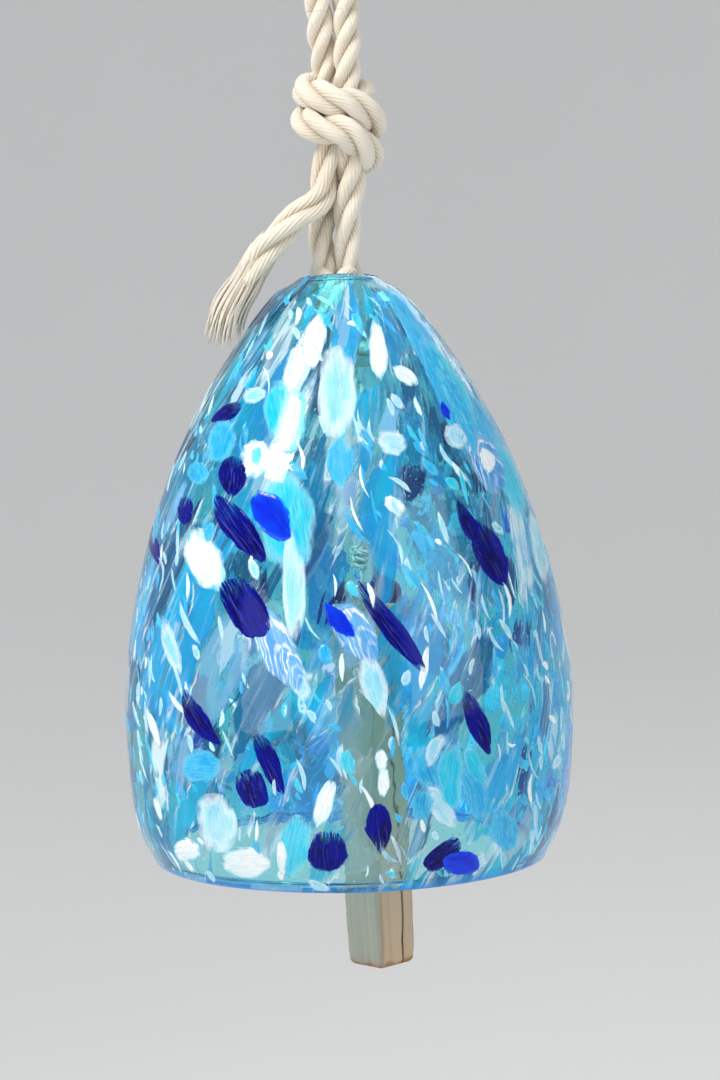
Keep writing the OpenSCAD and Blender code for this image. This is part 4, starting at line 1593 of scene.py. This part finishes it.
# The chips round the sides and the back: the shapes of each colour, and how many there are.
CHIPS_BEHIND = (
    (NAVY, (LEAF, BLOCK, DROP, SLIVER), 26), (COBALT, (LEAF, DROP), 7),
    (MILK, (ROUND, DROP, BLOCK, LEAF), 28), (ICE, (BLOCK, LEAF, ROUND), 34),
    (SKY, (BLOCK, ROUND, LEAF), 30), (AQUA, (ROUND, BLOCK), 16), (AGATE, (LEAF, ROUND), 14))
SMALL_COLOURS = (MILK, ICE, ICE, SKY, SKY, AQUA, AQUA, ICE, SKY)
WISP_COLOURS = (ICE, ICE, SKY, MILK, AQUA, ICE)


@dataclass
class ChipLayer:
    """The chips in the bell's skin: the large ones listed, small ones scattered all round."""

    bell: GlassBell
    eye: Vector
    small_chips: int = 260
    wisps: int = 480
    spread: float = 1.12
    rough: float = 0.20
    small_rough: float = 0.26
    large_sizes: tuple[float, float] = (0.007, 0.019)
    small_sizes: tuple[float, float] = (0.0022, 0.0072)
    wisp_lengths: tuple[float, float] = (0.003, 0.0115)
    wisp_widths: tuple[float, float] = (0.0005, 0.0020)
    knot_z: float = -0.1905
    knot_clear: float = 0.006

    def build(self) -> list[Piece]:
        """Makes one piece for each colour of chip.

        Returns:
            The pieces.
        """
        self.blanks = {shape: self.blank(shape, 24, 8) for shape in ChipShape}
        self.small_blanks = {shape: self.blank(shape, 12, 5) for shape in ChipShape}
        self.parts: dict[ChipColour, list] = {colour: [] for colour in ChipColour}
        self.taken: list[tuple[float, float, float]] = []
        for number, chip in enumerate(LARGE_CHIPS):
            self.lay_large(chip, number)
        angle, run = self.bell.seen_at(np.zeros(1), np.array([self.knot_z]), self.eye)
        self.taken.append((float(angle[0]), float(run[0]), self.knot_clear))
        self.scatter_behind()
        self.scatter_small()
        self.scatter_wisps()
        return [self.piece(finish) for finish in CHIP_FINISHES]

    def blank(self, shape: ChipShape, segments: int, rings: int) -> tuple[Array, Array]:
        """Models one chip as a lens a unit wide, long along X.

        Args:
            shape: the outline.
            segments: how many segments the lens has round it.
            rings: how many rings it has from face to face.

        Returns:
            Its points and its faces, as triangles.
        """
        forget_selection()
        bpy.ops.mesh.primitive_uv_sphere_add(segments=segments, ring_count=rings, radius=1)
        lens = bpy.context.object
        edit(lens)
        bpy.ops.transform.resize(value=(1, 1, 0.5))
        bpy.ops.object.mode_set(mode="OBJECT")
        places = corners(lens)
        x, y = places[:, 0].copy(), places[:, 1].copy()
        if shape is ChipShape.LEAF:
            y *= 1 - 0.42 * np.abs(x) ** 2
        elif shape is ChipShape.DROP:
            y *= 1 - 0.75 * np.clip(x, 0, 1) ** 1.1
        elif shape is ChipShape.BLOCK:
            size = np.maximum(np.hypot(x, y), 1e-6)
            corner = (np.abs(x / size) ** 3 + np.abs(y / size) ** 3 + 1e-6) ** (-1 / 3)
            corner = np.minimum(corner, 1.3) * 0.9
            x, y = x * corner, y * corner
        elif shape is ChipShape.SLIVER:
            y *= 1 - 0.6 * np.abs(x) ** 1.6
        places[:, 0], places[:, 1] = x, y
        lens.data.calc_loop_triangles()
        flat = np.empty(len(lens.data.loop_triangles) * 3, np.int32)
        lens.data.loop_triangles.foreach_get("vertices", flat)
        bpy.data.objects.remove(lens)
        return places, flat.reshape(-1, 3)

    def outline(self, places: Array, chance: Draws, rough: float) -> Array:
        """The blank with an outline of its own: waves round its edge, large and small."""
        angle = np.arctan2(places[:, 1], places[:, 0])
        wave = np.ones(len(places))
        for order in (1, 2, 3, 5, 7):
            wave += rough / order * chance.uniform(-1, 1) * np.sin(order * angle
                                                                    + chance.uniform(0, TURN))
        shaped = places.copy()
        shaped[:, :2] *= wave[:, None]
        return shaped

    def lift(self, height: Array, share: float = 1.0) -> Array:
        """Height above the skin: a flat face with a steep rim, and a rounded back in the wall."""
        face = np.minimum(1, height * 5) * self.bell.chip_proud
        return np.where(height > 0, face, height * 2 * self.bell.chip_depth) * share

    def keep(self, colour: ChipColour, points: Array, faces: Array, spot: Array,
             seed: float) -> None:
        """Adds a finished chip to its colour's piece."""
        self.parts[colour].append((points, faces, spot, seed))

    def lay_large(self, chip: Chip, number: int) -> None:
        """Lays a chip where it is seen from the front."""
        chance = np.random.default_rng(1000 + number)
        blank, faces = self.blanks[chip.shape]
        shaped = self.outline(blank, chance, self.rough)
        lean = math.radians(chip.lean)
        long = shaped[:, 0] * chip.long / 2 * self.spread
        wide = shaped[:, 1] * chip.wide / 2 * self.spread + chip.bend * (1 - shaped[:, 0] ** 2)
        x = (chip.x + long * math.cos(lean) - wide * math.sin(lean)) * MM
        z = (chip.z + long * math.sin(lean) + wide * math.cos(lean)) * MM
        angle, run = self.bell.seen_at(x, z, self.eye)
        rise = self.lift(shaped[:, 2]) + 0.00002 * (number % 4)
        points = self.bell.on_wall(angle, run, rise)
        self.keep(chip.colour, points, faces, blank, chance.uniform())
        self.taken.append((float(angle.mean()), float(run.mean()),
                           (chip.long + chip.wide) / 4 * MM))

    def lay_small(self, colour: ChipColour, shape: ChipShape, angle: float, run: float, long: float,
                  wide: float, lean: float, bend: float, chance: Draws, fine: bool = True) -> None:
        """Lays a chip on the wall by its angle and its distance down the outline.

        Args:
            colour: its glass.
            shape: its outline.
            angle: where its middle is, about the axis, in radians.
            run: where its middle is, down the outline.
            long: its length.
            wide: its width.
            lean: the turn of its length from level, in radians.
            bend: how far its middle is bent sideways.
            chance: the random draws to use.
            fine: whether it is one of the small ones with few faces.
        """
        blank, faces = (self.small_blanks if fine else self.blanks)[shape]
        shaped = self.outline(blank, chance, self.small_rough)
        along = shaped[:, 0] * long / 2
        across = shaped[:, 1] * wide / 2 + bend * (1 - shaped[:, 0] ** 2)
        right = along * math.cos(lean) - across * math.sin(lean)
        down = -(along * math.sin(lean) + across * math.cos(lean))
        low = np.clip(run + down, 0.001, self.bell.run[-1] - 0.0006)
        radius = self.bell.radius_down(low)
        rise = self.lift(shaped[:, 2]) + chance.uniform(-0.00012, 0.00006)
        points = self.bell.on_wall(angle + right / radius, low, rise)
        self.keep(colour, points, faces, blank, chance.uniform())

    def free(self, angle: float, run: float, size: float) -> bool:
        """Whether a spot is clear of the chips laid so far."""
        radius = float(self.bell.radius_down(run))
        for other_angle, other_run, reach in self.taken:
            turn = (angle - other_angle + math.pi) % TURN - math.pi
            if math.hypot(turn * radius, run - other_run) < reach + size:
                return False
        return True

    def spot(self, chance: Draws, behind: bool) -> tuple[float, float]:
        """A random spot on the wall, evenly by area."""
        total = self.bell.run[-1]
        while True:
            run = chance.uniform(0.008, total - 0.0022)
            if chance.uniform() * self.bell.radius < float(self.bell.radius_down(run)):
                break
        angle = chance.uniform(1.4, TURN - 1.4) if behind else chance.uniform(0, TURN)
        return angle, run

    def free_spot(self, chance: Draws, behind: bool, sizes: tuple[float, float], share: float,
                  tries: int) -> tuple[float, float, float]:
        """A spot and a length for a chip, drawn again while another chip is too near.

        Args:
            chance: the random draws to use.
            behind: whether it has to be at the sides or the back.
            sizes: the least and the greatest length.
            share: how much of its length has to be clear of the others.
            tries: how often at most to draw.

        Returns:
            The angle about the axis, the distance down the outline and the length.
        """
        for _ in range(tries):
            angle, run = self.spot(chance, behind)
            long = chance.uniform(*sizes)
            if self.free(angle, run, long * share):
                break
        return angle, run, long

    def scatter_behind(self) -> None:
        """Lays large chips round the sides and the back, like those seen in front."""
        chance = np.random.default_rng(7)
        for colour, shapes, count in CHIPS_BEHIND:
            for _ in range(count):
                angle, run, long = self.free_spot(chance, True, self.large_sizes, 0.32, 30)
                wide = long * chance.uniform(0.3, 0.62)
                lean = math.radians(chance.normal(112, 22))
                shape = shapes[int(chance.integers(len(shapes)))]
                self.lay_small(colour, shape, angle, run, long, wide, lean,
                               chance.uniform(-0.0008, 0.0008), chance, fine=False)
                self.taken.append((angle, run, long * 0.4))

    def scatter_small(self) -> None:
        """Lays small chips all round, clear of the large ones."""
        chance = np.random.default_rng(17)
        for _ in range(self.small_chips):
            angle, run, long = self.free_spot(chance, False, self.small_sizes, 0.25, 12)
            colour = SMALL_COLOURS[int(chance.integers(len(SMALL_COLOURS)))]
            shape = tuple(ChipShape)[int(chance.integers(5))]
            self.lay_small(colour, shape, angle, run, long, long * chance.uniform(0.3, 0.7),
                           math.radians(chance.normal(112, 26)), chance.uniform(-0.0006, 0.0006),
                           chance)

    def scatter_wisps(self) -> None:
        """Lays the thin pale wisps that the melt drew out, mostly leaning to the lower right."""
        chance = np.random.default_rng(27)
        for _ in range(self.wisps):
            long = chance.uniform(*self.wisp_lengths)
            for _ in range(8):
                angle, run = self.spot(chance, False)
                if self.free(angle, run, long * 0.2):
                    break
            colour = WISP_COLOURS[int(chance.integers(len(WISP_COLOURS)))]
            self.lay_small(colour, SLIVER, angle, run, long, chance.uniform(*self.wisp_widths),
                           math.radians(chance.normal(110, 16)), long * chance.normal(0, 0.10),
                           chance)

    def piece(self, finish: ChipFinish) -> Piece:
        """Joins the chips of one colour.

        Args:
            finish: the colour's finish.

        Returns:
            The piece.
        """
        points, faces, spots, seeds, count = [], [], [], [], 0
        for place, face, spot, seed in self.parts[finish.colour]:
            points.append(place)
            faces.append(face + count)
            spots.append(spot)
            seeds.append(np.full(len(place), seed))
            count += len(place)
        piece = mesh_piece(finish.colour.value + "_chips", np.vstack(points), np.vstack(faces),
                           finish.material())
        write_attribute(piece, "chip_spot", np.vstack(spots))
        write_attribute(piece, "chip_seed", np.concatenate(seeds))
        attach(piece, "bell")
        return piece


@dataclass
class Lamp:
    """A soft square lamp."""

    name: str
    place: Point
    size: float
    power: float
    colour: tuple[float, float, float] = (1, 1, 1)

    def build(self, target: Vector) -> None:
        """Hangs the lamp and points it at the target."""
        data = bpy.data.lights.new(self.name, "AREA")
        data.shape, data.size = "SQUARE", self.size
        data.energy, data.color = self.power, self.colour
        lamp = bpy.data.objects.new(self.name, data)
        lamp.location = self.place
        heading = target - Vector(self.place)
        lamp.rotation_euler = heading.to_track_quat("-Z", "Y").to_euler()
        bpy.context.scene.collection.objects.link(lamp)


@dataclass
class Studio:
    """The camera, the lamps, the world and the pale round room."""

    eye: Vector = Vector((0, -0.850, -0.099))
    aim: Vector = Vector((0, 0, -0.1854))
    roll_deg: float = -3.0
    lens: float = 112.0
    floor_z: float = -0.62
    room_radius: float = 3.4
    room_height: float = 3.6
    room_bend: float = 2.3
    sky: Colour = (0.93, 0.95, 0.98, 1)
    sky_strength: float = 0.76
    lamps: tuple[Lamp, ...] = (
        Lamp("key_lamp", (-0.8, -0.65, 0.85), 0.34, 9.5, (1.0, 0.985, 0.96)),
        Lamp("high_lamp", (-0.62, -0.36, 0.95), 0.30, 5.0, (1.0, 0.99, 0.97)),
        Lamp("low_lamp", (-0.95, -1.05, 0.0), 0.7, 3.3, (1.0, 0.97, 0.94)),
        Lamp("fill_lamp", (1.1, -0.9, 0.1), 1.0, 5.0, (0.96, 0.98, 1.0)),
        Lamp("back_lamp", (0.35, 1.2, 0.55), 0.9, 4.0, (1.0, 1.0, 1.0)),
    )

    def camera(self) -> None:
        """Sets the camera at the photograph's viewing angle."""
        data = bpy.data.cameras.new("camera")
        data.lens, data.sensor_width, data.sensor_fit = self.lens, 36.0, "AUTO"
        data.clip_start, data.clip_end = 0.02, 50
        camera = bpy.data.objects.new("camera", data)
        camera.location = self.eye
        camera.rotation_mode = "QUATERNION"
        camera.rotation_quaternion = ((self.aim - self.eye).to_track_quat("-Z", "Y")
                                      @ Quaternion(UP, math.radians(self.roll_deg)))
        bpy.context.scene.collection.objects.link(camera)
        bpy.context.scene.camera = camera

    def light(self) -> None:
        """Hangs the lamps and sets a pale even world."""
        for lamp in self.lamps:
            lamp.build(self.aim)
        world = bpy.data.worlds.new("pale_sky")
        bpy.context.scene.world = world
        world.use_nodes = True
        world.node_tree.nodes["Background"].inputs["Color"].default_value = self.sky
        world.node_tree.nodes["Background"].inputs["Strength"].default_value = self.sky_strength
        bpy.context.scene.view_settings.view_transform = "Standard"

    def room(self) -> None:
        """A round floor that curves up into a wall."""
        turn = np.linspace(0, math.pi / 2, 25)
        flat = self.room_radius - self.room_bend
        outline = np.column_stack([flat + self.room_bend * np.sin(turn),
                                   self.room_bend * (1 - np.cos(turn))])
        outline = np.vstack([[0, 0], outline, [self.room_radius, self.room_height]])
        room = turned_piece("studio_room", outline + [0, self.floor_z], 96, closed=False)
        smooth_faces(room)
        room.data.materials.append(StudioFinish().material())


def main() -> None:
    """Builds the scene: camera and cords first, then the glass, the clapper and the studio."""
    logging.basicConfig(level=logging.INFO, format="%(name)s: %(message)s")
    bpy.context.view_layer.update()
    studio = Studio()
    studio.camera()
    pieces = [*Rope().build(), *Twine().build()]
    pieces += GlassBell().build(studio.eye)
    pieces += Clapper().build()
    for piece in pieces:
        LOG.info("%s: %d faces", piece.name, len(piece.data.polygons))
    studio.room()
    studio.light()
    scene = bpy.context.scene
    scene.cycles.transparent_max_bounces = 48
    scene.cycles.transmission_bounces = 16
    scene.cycles.max_bounces = 20


if __name__ == "__main__":
    main()
